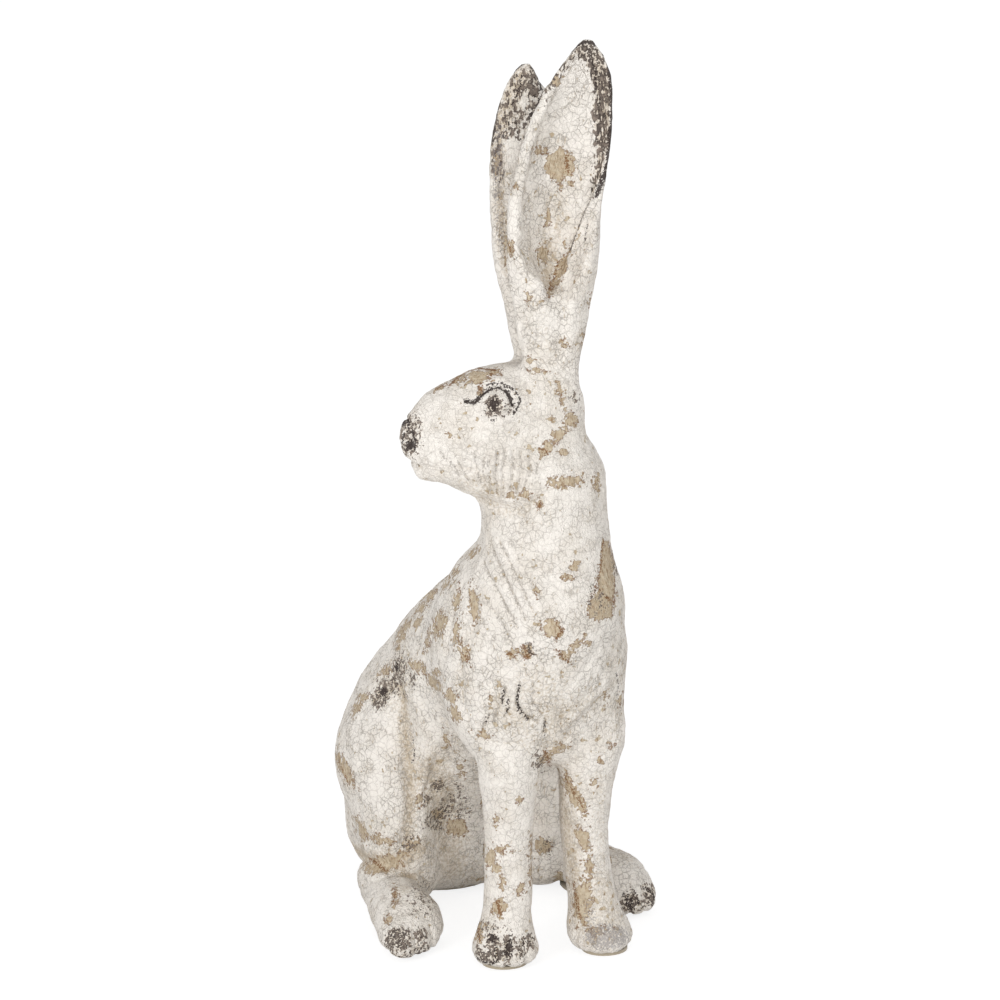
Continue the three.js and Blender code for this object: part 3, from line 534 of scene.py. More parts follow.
# Ink of the pupil and the nose on the far side, mirrored: points and half-width in millimetres.
FAR_INK = ((((494, 405),), 5.0), (((409, 432), (410, 446)), 2.4))
INK_PATCHES = (
    (494, 405, 4, 6.4, 0), (404, 423, 3, 3.2, 0), (508, 948, 3, 8, 8), (492, 938, 3.6, 5, 0),
    (631, 902, 2.4, 6, -10), (410, 445, 4, 6, 10), (383, 692, 3, 5, 25), (397, 668, 2.4, 4, 0),
)
# Umber dabbed on and rubbed: the last number is how solid it is, in millimetres inside its edge.
UMBER_STROKES = (
    (((584, 50), (592, 56), (598, 66), (602, 82), (603, 100), (603, 125), (603, 140)), 5.4, 1.2),
    (((601, 152), (599, 175), (594, 190)), 2.6, 1.2),
    (((576, 54), (565, 63), (556, 75), (546, 92), (534, 114)), 1.6, 0.3),
    (((542, 98), (532, 116), (522, 130)), 5.0, -0.6),
    (((519, 80), (509, 98), (500, 122), (494, 146)), 4.0, 0.1),
    (((533, 72), (533, 94)), 3.6, 0.5),
    (((496, 150), (497, 175)), 2.6, -0.8),
    (((383, 945), (398, 953), (424, 948)), 3.0, 0.0),
    (((478, 950), (486, 958), (500, 956)), 2.6, 1.0),
    (((622, 906), (634, 908), (650, 900)), 2.4, 0.2),
)
UMBER_PATCHES = (
    (494, 405, 8, 10.4, 0, 1.9), (511, 118, 9, 18, 15, 0.1), (517, 88, 8, 14, 22, -0.9),
    (399, 939, 13, 11, 0, 0.8), (422, 935, 5, 5.5, 0, 0.8), (492, 940, 7, 8, 0, 0.8),
    (495, 955, 8, 6, -10, 0.9), (508, 947, 5, 11, 8, 0.6), (521, 949, 4, 8, 5, 0.8),
    (529, 941, 5, 6, 0, 0.6), (630, 903, 8, 10, 0, 0.8), (649, 895, 6, 9, 0, 0.7),
    (398, 674, 6, 15, 8, 0.4), (381, 696, 7.5, 11, 25, 0.9), (390, 688, 10, 4, 30, -0.4),
    (413, 680, 3, 4, 0, 0.3), (438, 785, 5, 4.5, 0, 0.4), (427, 800, 2.4, 3.4, 0, 0.3),
    (441, 813, 11, 6, -35, 0.3), (459, 787, 1.8, 2.2, 0, 1.5), (575, 398, 1.6, 3, 0, 0.8),
    (538, 762, 3, 6, 0, 0.4), (433, 824, 6, 4, 0, -0.2), (530, 651, 2.6, 4, 0, 0.4), (547, 847, 3, 4, 0, 0),
    (410, 843, 8, 4, -28, -0.3), (505, 410, 5, 6, 0, -0.9), (405, 427, 6, 12, 8, -0.3),
    (409, 442, 7, 12, 10, -0.1), (414, 436, 5, 14, 5, -0.6), (485, 928, 10, 5, 0, -0.7),
    (455, 806, 14, 10, 20, -1.2), (616, 560, 2, 8, 0, -0.8), (596, 600, 8, 12, 0, -1.4),
    (420, 900, 10, 14, 0, -1.5),
)
# Grey rubbed over one paw, and in the last two rows painted shade in the far ear's groove: centre,
# half-lengths, turn and how solid it is.
PEWTER_AND_SHADE_PATCHES = (
    (607, 937, 22, 13, 0, 1.2), (590, 915, 5, 12, -10, -0.4), (498, 165, 4.5, 34, 2, 0.2),
    (501, 222, 4, 30, -6, -0.3),
)

# Feet: middle of the toes in millimetres, angles of the clefts seen from above, and their depth.
FEET = (
    ((33.7, -111.0, 11.0), (-52, -16, 20, 54), 0.3),
    ((-37.7, -106.0, 11.0), (-52, -18, 17, 52), 1.0),
    ((80.0, -48.0, 13.0), (-46, -14, 16, 46), 1.0),
    ((-81.0, -48.0, 13.0), (-46, -16, 14, 46), 0.7),
)

# Painted shade and brown wash along the picture's hollows and grooves, such as the ears' cups, the thigh's
# groove, under the cheek and the inner legs:
# strokes with a half-width in millimetres and a strength.
WASH_AND_SHADE_STROKES = (
    (((499, 116), (499, 165), (500, 205), (503, 245), (507, 270)), 5.0, 0.62),
    (((556, 205), (552, 230), (549, 255), (551, 288)), 6.0, 0.66),
    (((592, 212), (586, 260), (582, 320), (576, 360)), 6.0, 0.3),
    (((530, 260), (540, 320), (548, 365)), 12.0, 0.24),
    (((396, 689), (401, 715), (407, 750), (412, 785), (411, 815), (408, 845)), 6.0, 0.7),
    (((476, 499), (490, 505), (506, 510), (522, 510), (538, 502)), 6.0, 0.42),
    (((540, 690), (560, 716), (585, 706)), 20.0, 0.44),
    (((500, 700), (530, 735), (556, 744)), 14.0, 0.42),
    (((616, 660), (618, 700), (612, 740)), 14.0, 0.34),
    (((355, 850), (370, 862), (400, 862), (420, 850)), 9.0, 0.75),
    (((430, 770), (440, 800), (446, 840), (452, 870)), 18.0, 0.6),
    (((560, 790), (566, 830), (574, 870), (576, 915)), 9.0, 0.62),
    (((598, 780), (602, 850), (604, 905)), 8.0, 0.36),
    (((452, 560), (430, 600), (410, 640), (395, 670)), 14.0, 0.22),
    (((470, 620), (462, 660), (452, 700)), 14.0, 0.22),
    (((520, 74), (508, 100), (500, 130)), 8.0, 0.6),
    (((596, 66), (603, 95), (603, 140)), 5.0, 0.45),
    (((572, 880), (580, 925)), 9.0, 0.4),
)

# Places where the wash stays and shade is painted, such as the belly, between the legs and under the chin:
# centre, reach along X, Y and Z in millimetres, and strength.
WASH_AND_SHADE_PLACES = (
    ((-4, -38, 66), (66, 52, 92), 0.34),
    ((-4, -104, 74), (26, 34, 80), 0.46),
    ((-44, -60, 118), (34, 40, 54), 0.42),
    ((-40, -20, 30), (50, 60, 34), 0.34),
    ((-62, -118, 322), (26, 26, 20), 0.4),
    ((-30, -104, 318), (24, 22, 16), 0.4),
    ((38, -96, 196), (44, 40, 30), 0.34),
    ((-20, -140, 166), (40, 26, 22), 0.3),
    ((-86, -40, 46), (28, 34, 14), 0.6),
    ((80, -30, 46), (30, 50, 22), 0.35),
    ((26, -122, 30), (22, 26, 40), 0.4),
    ((-4, 60, 20), (110, 80, 30), 0.35),
    ((-60, 10, 160), (40, 40, 26), 0.35),
)

# Kinds of painted place, and in millimetres: how far from its edge each is known, how far inside it
# a chip is solid, how far a random chip goes through the skin, so that none shows on the other face
# of an ear, the half-width of the painted shade along a groove, and what counts as a narrow groove.
# Then how many chips lie at random on the sides that the picture doesn't show.
PAINTED = ("chip", "umber", "ink_and_shade", "rust", "pewter_and_shade", "groove_shade")
FAR = 8.0
CHIP_SOLID = 3.0
CHIP_REACH = 9
GROOVE_SHADE = 0.85
NARROW = 1.2
RANDOM_CHIPS = 420

# How many random strokes of the tool run down the coat of the trunk and of the head.
TRUNK_STROKES = 700
HEAD_STROKES = 90

# Heights in millimetres: the undersides of the castings, the top of the head between the ears,
# the bonds of the ears and of the front legs. Then the front legs' axes and their radius.
SOLE = 2.25
HEAD_TOP = 392
EAR_BOND = 403.0
LEG_BOND = 147.9
LEG_AXES = ((25.0, -104.7), (-33.0, -104.7))
LEG_RADIUS = 23.5

# Passes that smooth the whole skin, the roots of legs and ears, and the skin parted in four, and
# the share that each of those last passes pushes back.
WHOLE_PASSES = 70
ROOT_PASSES = 24
FINE_PASSES = 8
FINE_BACK = 0.53

# The far ear's tip: where it starts, its middle and the share kept right of it, and the rows of
# its top, of where that top belongs, and of where the change ends.
TIP_FROM = 500.0
TIP_MIDDLE = 529.0
TIP_SHARE = 0.42
TIP_ROWS = (57.0, 63.0, 106.0)


class Skin:
    """The sculpted skin while it is worked on: corners and their normals, and the distances in
    millimetres inside the edge of each kind of painted place, below 0 outside it."""

    def __init__(self, points, faces):
        self.points = points
        self.bare = points.copy()  # before any stroke, where the lines of strokes lie
        self.faces = faces
        self.normals = normals_of(points, *faces)
        self.paint = {name: np.full(len(points), -FAR) for name in PAINTED}

    def press(self, line, depth, width):
        """Moves the corners near a line along their normals by depth times a bell of the
        distance to the line."""
        near, distance, _ = reach(self.points, line, 3.2 * width)
        bell = np.exp(-0.5 * (distance / width) ** 2)
        self.points[near] += depth * bell[:, None] * self.normals[near]

    def lay(self, kind, index, inside):
        """Paints some corners: the distance inside is the greater of the old and the new one."""
        self.paint[kind][index] = np.maximum(self.paint[kind][index], inside)

    def brush(self, kind, line, width, solid=FAR, where=None):
        """Paints along a line, or only where it may: the distance inside is the half-width less
        the distance, held to what is solid."""
        near, distance, _ = reach(self.bare, line, width + FAR)
        if where is not None:
            near, distance = near[where[near]], distance[where[near]]
        self.lay(kind, near, np.minimum(width - distance, solid))


def reach(points, line, limit):
    """Which points lie within a limit of a line of points, their distance to it and the share
    of the line at their nearest place: for each stretch the foot of the perpendicular, held to
    the stretch."""
    low, high = line.min(0) - limit, line.max(0) + limit
    near = np.flatnonzero(((points > low) & (points < high)).all(1))
    best = np.full(len(near), np.inf)
    share = np.zeros(len(near))
    spans = len(line) - 1
    for i in range(max(spans, 1)):
        start, end = line[i], line[min(i + 1, spans)]
        along = end - start
        t = np.clip((points[near] - start) @ along / max(along @ along, 1e-9), 0, 1)
        distance = np.linalg.norm(points[near] - start - t[:, None] * along, axis=1)
        closer = distance < best
        best[closer] = distance[closer]
        share[closer] = (i + t[closer]) / max(spans, 1)
    inside = best < limit
    return near[inside], best[inside], share[inside]


def caster(points, squares):
    """Three functions that find points of the skin. The first gives those under a line of pixels,
    with a point at least every two millimetres, and a pixel beside the figure gives the nearest
    point of its edge."""
    tree = BVHTree.FromPolygons(points.tolist(), squares.tolist())

    def cast(pixels):
        """Points of the skin under a line of pixels."""
        pixels = np.array(pixels, float).reshape(-1, 2)
        steps = np.linalg.norm(np.diff(pixels, axis=0), axis=1)
        count = max(int(steps.sum() * PIXEL / 2), 1)
        knots = np.concatenate([[0], np.cumsum(steps)])
        places = np.linspace(0, knots[-1], count + 1)
        fine = np.stack([np.interp(places, knots, pixels[:, axis]) for axis in range(2)], 1)
        x, y = (fine.T - PICTURE / 2) / FOCAL
        found = []
        for direction in -BACK + x[:, None] * RIGHT - y[:, None] * UP:
            direction = direction / np.linalg.norm(direction)
            hit = tree.ray_cast(Vector(EYE), Vector(direction))[0]
            if hit is None:
                beside = EYE + VIEW_DISTANCE * direction
                hit = tree.find_nearest(Vector(beside))[0]
            found.append(tuple(hit))
        return np.array(found)

    def nearest(places):
        """Points of the skin nearest to some places."""
        return np.array([tuple(tree.find_nearest(Vector(place))[0]) for place in places])

    def inward(centre, directions, distance=70.0):
        """Points of the skin that rays meet on their way in to a centre."""
        found = [tree.ray_cast(Vector(centre + distance * d), Vector(-d))[0] for d in directions]
        return np.array([tuple(hit) for hit in found if hit is not None])

    return cast, nearest, inward


def other_side(places):
    """Places mirrored across the head's middle plane."""
    return places - 2 * ((places - NECK) @ ACROSS)[:, None] * ACROSS


def noise(points, size, seed):
    """Smooth noise from -1 to 1: random numbers on a grid of that size, with a smooth step
    between neighbours along X, Y and Z."""
    count = 32
    grid = np.random.default_rng(seed).uniform(-1, 1, (count, count, count))
    place = points / size
    cell = np.floor(place).astype(int)
    t = place - cell
    t = t * t * (3 - 2 * t)
    total = np.zeros(len(points))
    for corner in np.ndindex(2, 2, 2):
        part = np.ones(len(points))
        for axis in range(3):
            part = part * (t[:, axis] if corner[axis] else 1 - t[:, axis])
        index = (cell + corner) % count
        total += part * grid[index[:, 0], index[:, 1], index[:, 2]]
    return total


def in_view(points, normals):
    """Which corners the picture shows: those that face it and that nothing covers by more than
    12 mm, by the least depth in each cell of 3 pixels."""
    pixels, depth = pixels_of(points)
    cell = np.clip((pixels / 3).astype(int), 0, PICTURE // 3)
    key = cell[:, 0] * PICTURE + cell[:, 1]
    least = np.full(PICTURE * PICTURE, np.inf)
    np.minimum.at(least, key, depth)
    return (normals @ BACK > 0.02) & (depth < least[key] + 12), pixels


def oval(pixels, row):
    """Millimetres inside an oval of the picture: the shorter half-length times one less the
    scaled distance from its centre."""
    x, y, along, across, turn = row[:5]
    c, s = math.cos(math.radians(turn)), math.sin(math.radians(turn))
    dx, dy = pixels[:, 0] - x, pixels[:, 1] - y
    scaled = np.hypot((c * dx + s * dy) / along, (c * dy - s * dx) / across)
    return min(along, across) * PIXEL * (1 - scaled)


def polygon(pixels, corners):
    """Millimetres inside a polygon of the picture: the least distance to its sides, below 0
    where a ray to the right crosses them an even number of times."""
    corners = np.array(corners, float)
    least = np.full(len(pixels), np.inf)
    inside = np.zeros(len(pixels), bool)
    for a, b in zip(corners, np.roll(corners, -1, axis=0)):
        along = b - a
        t = np.clip((pixels - a) @ along / (along @ along), 0, 1)
        least = np.minimum(least, np.linalg.norm(pixels - a - t[:, None] * along, axis=1))
        crosses = (a[1] > pixels[:, 1]) != (b[1] > pixels[:, 1])
        at = a[0] + (pixels[:, 1] - a[1]) / (along[1] if along[1] else 1e-9) * along[0]
        inside ^= crosses & (pixels[:, 0] < at)
    return PIXEL * np.where(inside, least, -least)


def sculpted_skin(sizes):
    """Welds, smooths and sculpts the skin, and marks its painted places."""
    points, squares = welded(sizes.skin_step)
    sides, _ = sides_of(squares)

    # The bonds are smoothed over. Legs, feet, head and ears are spared most of it, and their
    # roots get more.
    x, y, z = points.T
    leg = ramp(-y, 74, 90) * ramp(-z, -150, -128)
    foot = ramp(np.abs(x + 2), 44, 58) * ramp(-z, -52, -40)
    head = ramp(z, 286, 306)
    ear = ramp(z, 404, 424)
    weight = (1 - 0.72 * np.maximum(leg, foot)) * (1 - 0.66 * head) * (1 - 0.85 * ear)
    points = smoothed(points, sides, weight, WHOLE_PASSES)
    x, y, z = points.T
    armpit = np.exp(-(((z - 140) / 16) ** 2)) * ramp(-y, 70, 86)
    root = np.exp(-(((z - 402) / 10) ** 2))
    points = smoothed(points, sides, np.maximum(armpit, 0.6 * root), ROOT_PASSES)
    points = pulled(points, squares)

    # The head and the ears are parted once more, and the steps of the squares smoothed away.
    upper = points[squares][:, :, 2].min(1) > NECK[2]
    points, coarse, fine, (held, ends) = finer(points, squares, upper)
    weight = np.zeros(len(points))
    weight[np.unique(fine)] = 0.8
    weight[np.unique(coarse)] = 0
    weight[held] = 0
    joined, _ = sides_of(np.concatenate([coarse, fine]))
    points = smoothed(points, joined, weight, FINE_PASSES, back=FINE_BACK)
    skin = Skin(points, (coarse, fine))
    cast, nearest, inward = caster(points, np.concatenate([coarse, fine]))
    generator = np.random.default_rng(7)

    # Modelling: long swellings, a rough grain, and short strokes of the tool down the coat.
    height = sizes.lump_height / MM
    calm = 1 - 0.6 * ramp(points[:, 2], 290, 330)
    swell = calm * (noise(points, 26, 1) + 0.5 * noise(points, 11, 2)) + 0.3 * noise(points, 5, 3)
    skin.points += (height * (swell + 0.3 * noise(points, 2.7, 4)))[:, None] * skin.normals
    comb(skin, nearest, generator, sizes.fur_depth / MM)

    # The face, on both sides, and then the strokes of the near side and the toes.
    for pixels, depth, width in FACE_STROKES:
        line = cast(pixels)
        skin.press(line, depth, width)
        skin.press(nearest(other_side(line)), depth, width)
    (u, v), (wide, high), rise = EYEBALL
    eye = cast([(u, v)])[:1]
    for place in (eye, nearest(other_side(eye))):
        dome(skin, place[0], wide * PIXEL, high * PIXEL, rise)
    for pixels, depth, width in LOW_STROKES + EAR_STROKES:
        line = cast(pixels)
        skin.press(line, depth, width)
        # Narrow grooves get a dark line of painted shade along them.
        if depth < 0 and width < NARROW:
            skin.brush("groove_shade", line, GROOVE_SHADE if line[0, 2] < NECK[2] else 0.6 * GROOVE_SHADE)
    toes(skin, inward, sizes.cleft_depth / MM)

    # The soles are level, and corners held on the border of the finer part stay on their sides.
    skin.points[:, 2] = np.maximum(skin.points[:, 2], SOLE)
    skin.points[held] = skin.points[ends].mean(1)
    skin.normals = normals_of(skin.points, *skin.faces)
    skin.normals[held] = skin.normals[ends].sum(1)
    skin.normals /= np.linalg.norm(skin.normals, axis=1)[:, None]
    mark(skin, cast, nearest, generator)
    skin.joined = joined
    return skin


def pulled(points, squares):
    """Moves the skin near each pulled place by a bell of the distance to it. Then it draws in
    the far ear's tip: in the picture, its right edge goes to 0.42 of its distance from the
    tip's middle, and its top comes down, less and less towards the rows below."""
    cast, _, _ = caster(points, squares)
    away = -BACK * np.array([1.0, 1.0, 0.0])
    away /= np.linalg.norm(away)
    moves = np.zeros_like(points)
    for pixel, (right, down, far), width in PULLS:
        place = cast([pixel])[:1]
        near, distance, _ = reach(points, place, 3 * width)
        move = right * RIGHT - down * UP + far * away
        moves[near] += np.exp(-0.5 * (distance / width) ** 2)[:, None] * move
    points = points + moves
    pixels, depth = pixels_of(points)
    u, v = pixels.T
    tip = ((points - NECK) @ ACROSS < 0) & (points[:, 2] > TIP_FROM)
    narrow = 1 - (1 - TIP_SHARE) * ramp(-v, -TIP_ROWS[2], -TIP_ROWS[1] - 12)
    right = np.where(u > TIP_MIDDLE, (u - TIP_MIDDLE) * (narrow - 1), 0)
    fall = (TIP_ROWS[1] - TIP_ROWS[0]) * np.clip((TIP_ROWS[2] - v) / (TIP_ROWS[2] - TIP_ROWS[0]), 0, 1)
    shift = (right[:, None] * RIGHT - fall[:, None] * UP) * depth[:, None] / FOCAL
    return points + np.where(tip[:, None], shift, 0)


def dome(skin, centre, wide, high, rise):
    """Raises a rounded eyeball: rise times one less the square of the scaled distance."""
    offset = skin.points - centre
    near = np.linalg.norm(offset, axis=1) < 1.5 * wide
    scaled = (offset[near] @ AHEAD / wide) ** 2 + (offset[near, 2] / high) ** 2
    skin.points[near] += rise * np.maximum(1 - scaled, 0)[:, None] ** 0.7 * skin.normals[near]


def down_coat(generator, normal, back, spread):
    """A unit vector along the skin, down and a little back, turned at random: the part of it
    that lies along the normal is taken away."""
    flow = np.array([0.0, back, -1.0]) + generator.normal(0, spread, 3)
    flow -= (flow @ normal) * normal
    return flow / max(np.linalg.norm(flow), 1e-6)


def comb(skin, nearest, generator, depth):
    """Short strokes down the coat at random places of the trunk and the head: each starts on
    the skin, runs down and back along it, and is pressed in by up to the depth."""
    low = np.flatnonzero(skin.points[:, 2] < NECK[2])
    high = np.flatnonzero((skin.points[:, 2] > NECK[2]) & (skin.points[:, 2] < HEAD_TOP))
    for corners, count, reach_down in ((low, TRUNK_STROKES, 1.0), (high, HEAD_STROKES, 0.5)):
        for start in generator.choice(corners, count, replace=False):
            place, normal = skin.points[start], skin.normals[start]
            flow = down_coat(generator, normal, 0.35, 0.22)
            run = generator.uniform(8, 24) * reach_down
            line = nearest(place + np.linspace(0, run, 5)[:, None] * flow)
            skin.press(line, generator.choice((-1, -1, 0.6)) * depth * generator.uniform(0.4, 1), 1.25)


def toes(skin, inward, depth):
    """Clefts between the toes and a swelling on each toe. A cleft is the line where rays at one
    angle, from low to high, run in to the middle of the toes."""
    up = np.radians(np.linspace(-38, 22, 10))
    for centre, clefts, share in FEET:
        centre = np.array(centre)
        edges = np.radians(np.array((-84, *clefts, 84)))
        for angle in (edges[1:] + edges[:-1]) / 2:
            flat = np.array([math.sin(angle), -math.cos(angle), 0.0])
            tip = inward(centre, [0.98 * flat + np.array([0, 0, -0.1])])
            if len(tip):
                skin.press(tip[:1], 1.6 * share, 5.0)
        for angle in edges[1:-1]:
            flat = np.array([math.sin(angle), -math.cos(angle), 0.0])
            rays = [math.cos(u) * flat + np.array([0, 0, math.sin(u)]) for u in up]
            line = inward(centre, rays)
            skin.press(line, -share * depth, 1.2)
            skin.press(line[-2:], 0.4 * share * depth, 1.2)


def mark(skin, cast, nearest, generator):
    """Marks chips, stains, umber and painted shade: those of the picture where it shows them, and
    others like them, drawn at random, all round the figure."""
    shown, pixels = in_view(skin.points, skin.normals)
    index = np.flatnonzero(shown)
    seen = pixels[shown]

    def put(kind, inside, solid=FAR):
        """Paints the corners that the picture shows."""
        skin.lay(kind, index, np.minimum(inside, solid))

    for row in CHIPS:
        put("chip", oval(seen, row), CHIP_SOLID)
    put("chip", polygon(seen, CHEST_CHIP), CHIP_SOLID)
    for row in UMBER_PATCHES:
        put("umber", oval(seen, row), row[5])
    for row in PEWTER_AND_SHADE_PATCHES:
        put("pewter_and_shade", oval(seen, row), row[5])
    for row in INK_PATCHES:
        put("ink_and_shade", oval(seen, row))
    for pixels, width in RUST:
        skin.brush("rust", cast(pixels), width)
    # Painted shade and wash along the hollows and grooves that the picture shows.
    skin.wash_and_shade = np.zeros(len(skin.points))
    for pixels, width, strength in WASH_AND_SHADE_STROKES:
        near, distance, _ = reach(skin.bare, cast(pixels), 2 * width)
        soft = strength * np.exp(-0.5 * (distance / (0.8 * width)) ** 2)
        skin.wash_and_shade[near] = np.maximum(skin.wash_and_shade[near], soft)
    for pixels, width, solid in UMBER_STROKES:
        skin.brush("umber", cast(pixels), width, solid)
    for pixels, width in INK_AND_SHADE_STROKES:
        line = cast(pixels)
        skin.brush("ink_and_shade", line, width)
        if line[:, 2].max() < HEAD_TOP and line[:, 2].min() > NECK[2]:
            skin.brush("ink_and_shade", nearest(other_side(line)), width, where=~shown)
    for pixels, width in FAR_INK:
        skin.brush("ink_and_shade", nearest(other_side(cast(pixels))), width, where=~shown)

    # Umber on the far faces of the ear tips and on all the toes.
    high = ramp(skin.points[:, 2], 540, 610)
    back = np.where(shown, -FAR, 9 * high - 7 + 3.0 * noise(skin.points, 9, 11))
    skin.paint["umber"] = np.maximum(skin.paint["umber"], np.clip(back, -FAR, 1.2))
    for centre, _, _ in FEET:
        offset = skin.points - np.array(centre)
        front = -offset[:, 1] / np.maximum(np.linalg.norm(offset, axis=1), 1e-6)
        close = np.linalg.norm(offset, axis=1) < 40
        dab = 3.0 * (front - 0.75) + 2.4 * noise(skin.points, 7, 12) - 1.2
        dab = np.clip(dab - ramp(skin.points[:, 2], 16, 30) * 4, -FAR, 0.8)
        unpainted = close & ~shown
        skin.lay("umber", unpainted, dab[unpainted])

    # Chips at random on the sides that the picture doesn't show, most of them small, and crowded
    # in some places.
    unseen = np.flatnonzero(~shown)
    crowd = 0.06 + ramp(noise(skin.points[unseen], 55, 13), -0.1, 0.7)
    share = np.where(skin.points[unseen, 2] > NECK[2], 0.14, 1.0) * crowd
    for start in generator.choice(unseen, RANDOM_CHIPS, replace=False, p=share / share.sum()):
        place, normal = skin.points[start], skin.normals[start]
        flow = down_coat(generator, normal, 0.3, 0.3)
        across = np.cross(normal, flow)
        size = 0.8 + 5.4 * generator.uniform() ** 3
        long = size * generator.uniform(1.0, 3.4)
        near, _, _ = reach(skin.points, place[None], long + FAR)
        offset = skin.points[near] - place
        level = (offset @ flow / long) ** 2 + (offset @ across / size) ** 2
        scaled = np.sqrt(level + (offset @ normal / CHIP_REACH) ** 2)
        inside = np.where(shown[near], -FAR, np.minimum(size * (1 - scaled), CHIP_SOLID))
        skin.lay("chip", near, inside)


def wash_and_shade_of(skin):
    """How much wash and painted shade each corner gets, from 0 to 1: soft places, and every hollow
    darkened as painted shade, found by how far the corner lies below the skin smoothed round it."""
    total = np.zeros(len(skin.points))
    for centre, sizes, strength in WASH_AND_SHADE_PLACES:
        scaled = np.linalg.norm((skin.points - np.array(centre)) / np.array(sizes), axis=1)
        total = np.maximum(total, strength * (1 - ramp(scaled, 0.55, 1.1)))
    every = np.ones(len(skin.points))
    close = smoothed(skin.points, skin.joined, every, 8)
    hollow = ((close - skin.points) * skin.normals).sum(1)
    wide = smoothed(close, skin.joined, every, 50)
    hollow_wide = ((wide - skin.points) * skin.normals).sum(1)
    total += 0.7 * np.clip(hollow - 0.08, 0, 0.5) + 0.14 * np.clip(hollow_wide - 0.6, 0, 3)
    return np.clip(np.maximum(total, skin.wash_and_shade), 0, 1)


def closeness(points):
    """1 where the crackle is fine, on the head, the neck and the legs, and 0 elsewhere."""
    x, y, z = points.T
    face = ramp(z, 300, 325) * (1 - ramp(z, 385, 408))
    throat = 0.55 * ramp(z, 225, 260) * (1 - ramp(z, 300, 325))
    legs = 0.8 * ramp(-y, 72, 88) * (1 - ramp(z, 135, 160))
    return np.maximum(face, np.maximum(throat, legs))


# ---------------------------------------------------------------------------
# Parting the skin into the castings that it stands for.


def casting_of(centres):
    """The casting that each place of the skin belongs to, as an index into CASTINGS."""
    x, y, z = centres.T
    owner = np.zeros(len(centres), int)
    head = z > NECK[2]
    owner[head] = 1
    side = (centres - NECK) @ ACROSS
    ear = z > EAR_BOND
    owner[ear] = np.where(side[ear] > 0, 2, 3)
    for number, name in ((4, "front_leg_left_casting"), (5, "front_leg_right_casting")):
        middle = LEG_AXES[number - 4]
        inside = ((x - middle[0]) / LEG_RADIUS) ** 2 + ((y - middle[1]) / LEG_RADIUS) ** 2 < 1
        low, high = (np.array(corner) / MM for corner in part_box(name))
        paw = (x > low[0] - 2) & (x < high[0] + 2) & (y < -72) & (z < 110)
        owner[(inside | paw) & (z < LEG_BOND)] = number
    for number, name in ((6, "hind_foot_left_casting"), (7, "hind_foot_right_casting")):
        low, high = (np.array(corner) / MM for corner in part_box(name))
        middle, half = (low + high) / 2, (high - low) / 2 + 1.5
        barrel = ((x - middle[0]) / half[0]) ** 2 + ((z - middle[2]) / half[2]) ** 2 < 1.1
        owner[barrel & (y > low[1] - 3) & (y < high[1] + 1)] = number
    return owner


def capped(faces):
    """Fans that close the open rims of some squares: each rim's sides, turned round, with a
    corner of their own for each rim. Gives the sides as triangles' first two corners, and the
    rim that each belongs to."""
    ahead = np.stack([faces, np.roll(faces, -1, axis=1)], 2).reshape(-1, 2)
    big = int(faces.max()) + 1
    keys = ahead[:, 0] * big + ahead[:, 1]
    single = ~np.isin(ahead[:, 1] * big + ahead[:, 0], keys)
    rims = ahead[single]
    corners, index = np.unique(rims, return_inverse=True)
    index = index.reshape(-1, 2)
    label = labels_of(index, len(corners))
    _, rim = np.unique(label[index[:, 0]], return_inverse=True)
    return rims, rim


def part(skin, number):
    """The piece of the skin that stands for a casting, closed over its bonds by fans. The masks
    of the painted places go with it as attributes."""
    name = CASTINGS[number]
    chosen = [faces[casting_of(skin.points[faces].mean(1)) == number] for faces in skin.faces]
    faces = np.concatenate(chosen)
    kept, index = np.unique(faces, return_inverse=True)
    faces = index.reshape(-1, 4)
    rims, rim = capped(faces)
    points, normals = skin.points[kept], skin.normals[kept]
    closed = faces.tolist()
    extra, turned = [], []
    for each in range(rim.max() + 1 if len(rim) else 0):
        ring = rims[rim == each]
        middle = points[ring[:, 0]].mean(0)
        centre = len(points) + len(extra)
        extra.append(middle)
        turned.append((0.0, 0.0, 1.0))
        closed += np.stack([ring[:, 1], ring[:, 0], np.full(len(ring), centre)], 1).tolist()
    if extra:
        points = np.concatenate([points, extra])
        normals = np.concatenate([normals, turned])
    mesh = bpy.data.meshes.new(name)
    mesh.from_pydata((points * MM).tolist(), [], closed)
    for kind, values in skin.masks.items():
        whole = np.concatenate([values[kept], np.zeros(len(extra))]).astype(np.float32)
        mesh.attributes.new(kind, "FLOAT", "POINT").data.foreach_set("value", whole)
    mesh.polygons.foreach_set("use_smooth", np.ones(len(mesh.polygons), bool))
    mesh.normals_split_custom_set_from_vertices(normals.tolist())
    piece = object_from(name.replace("_casting", ""), mesh)
    piece.data.materials.append(painted_resin())
    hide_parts(name)
    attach(piece, "root")
    return piece


MADE = {}


def skin_of():
    """The sculpted skin, made once."""
    if "skin" not in MADE:
        skin = sculpted_skin(bpy.context.scene.hare_sizes)
        skin.masks = {kind: np.clip(0.5 + values / (2 * FAR), 0, 1) for kind, values in skin.paint.items()}
        skin.masks["wash_and_shade"] = wash_and_shade_of(skin)
        skin.masks["close"] = closeness(skin.points)
        MADE["skin"] = skin
    return MADE["skin"]


# ---------------------------------------------------------------------------
# Materials.


# Kinds of node that the materials use often.
MATH = "ShaderNodeMath"
MIX = "ShaderNodeMix"
NOISE = "ShaderNodeTexNoise"
RANGE = "ShaderNodeMapRange"


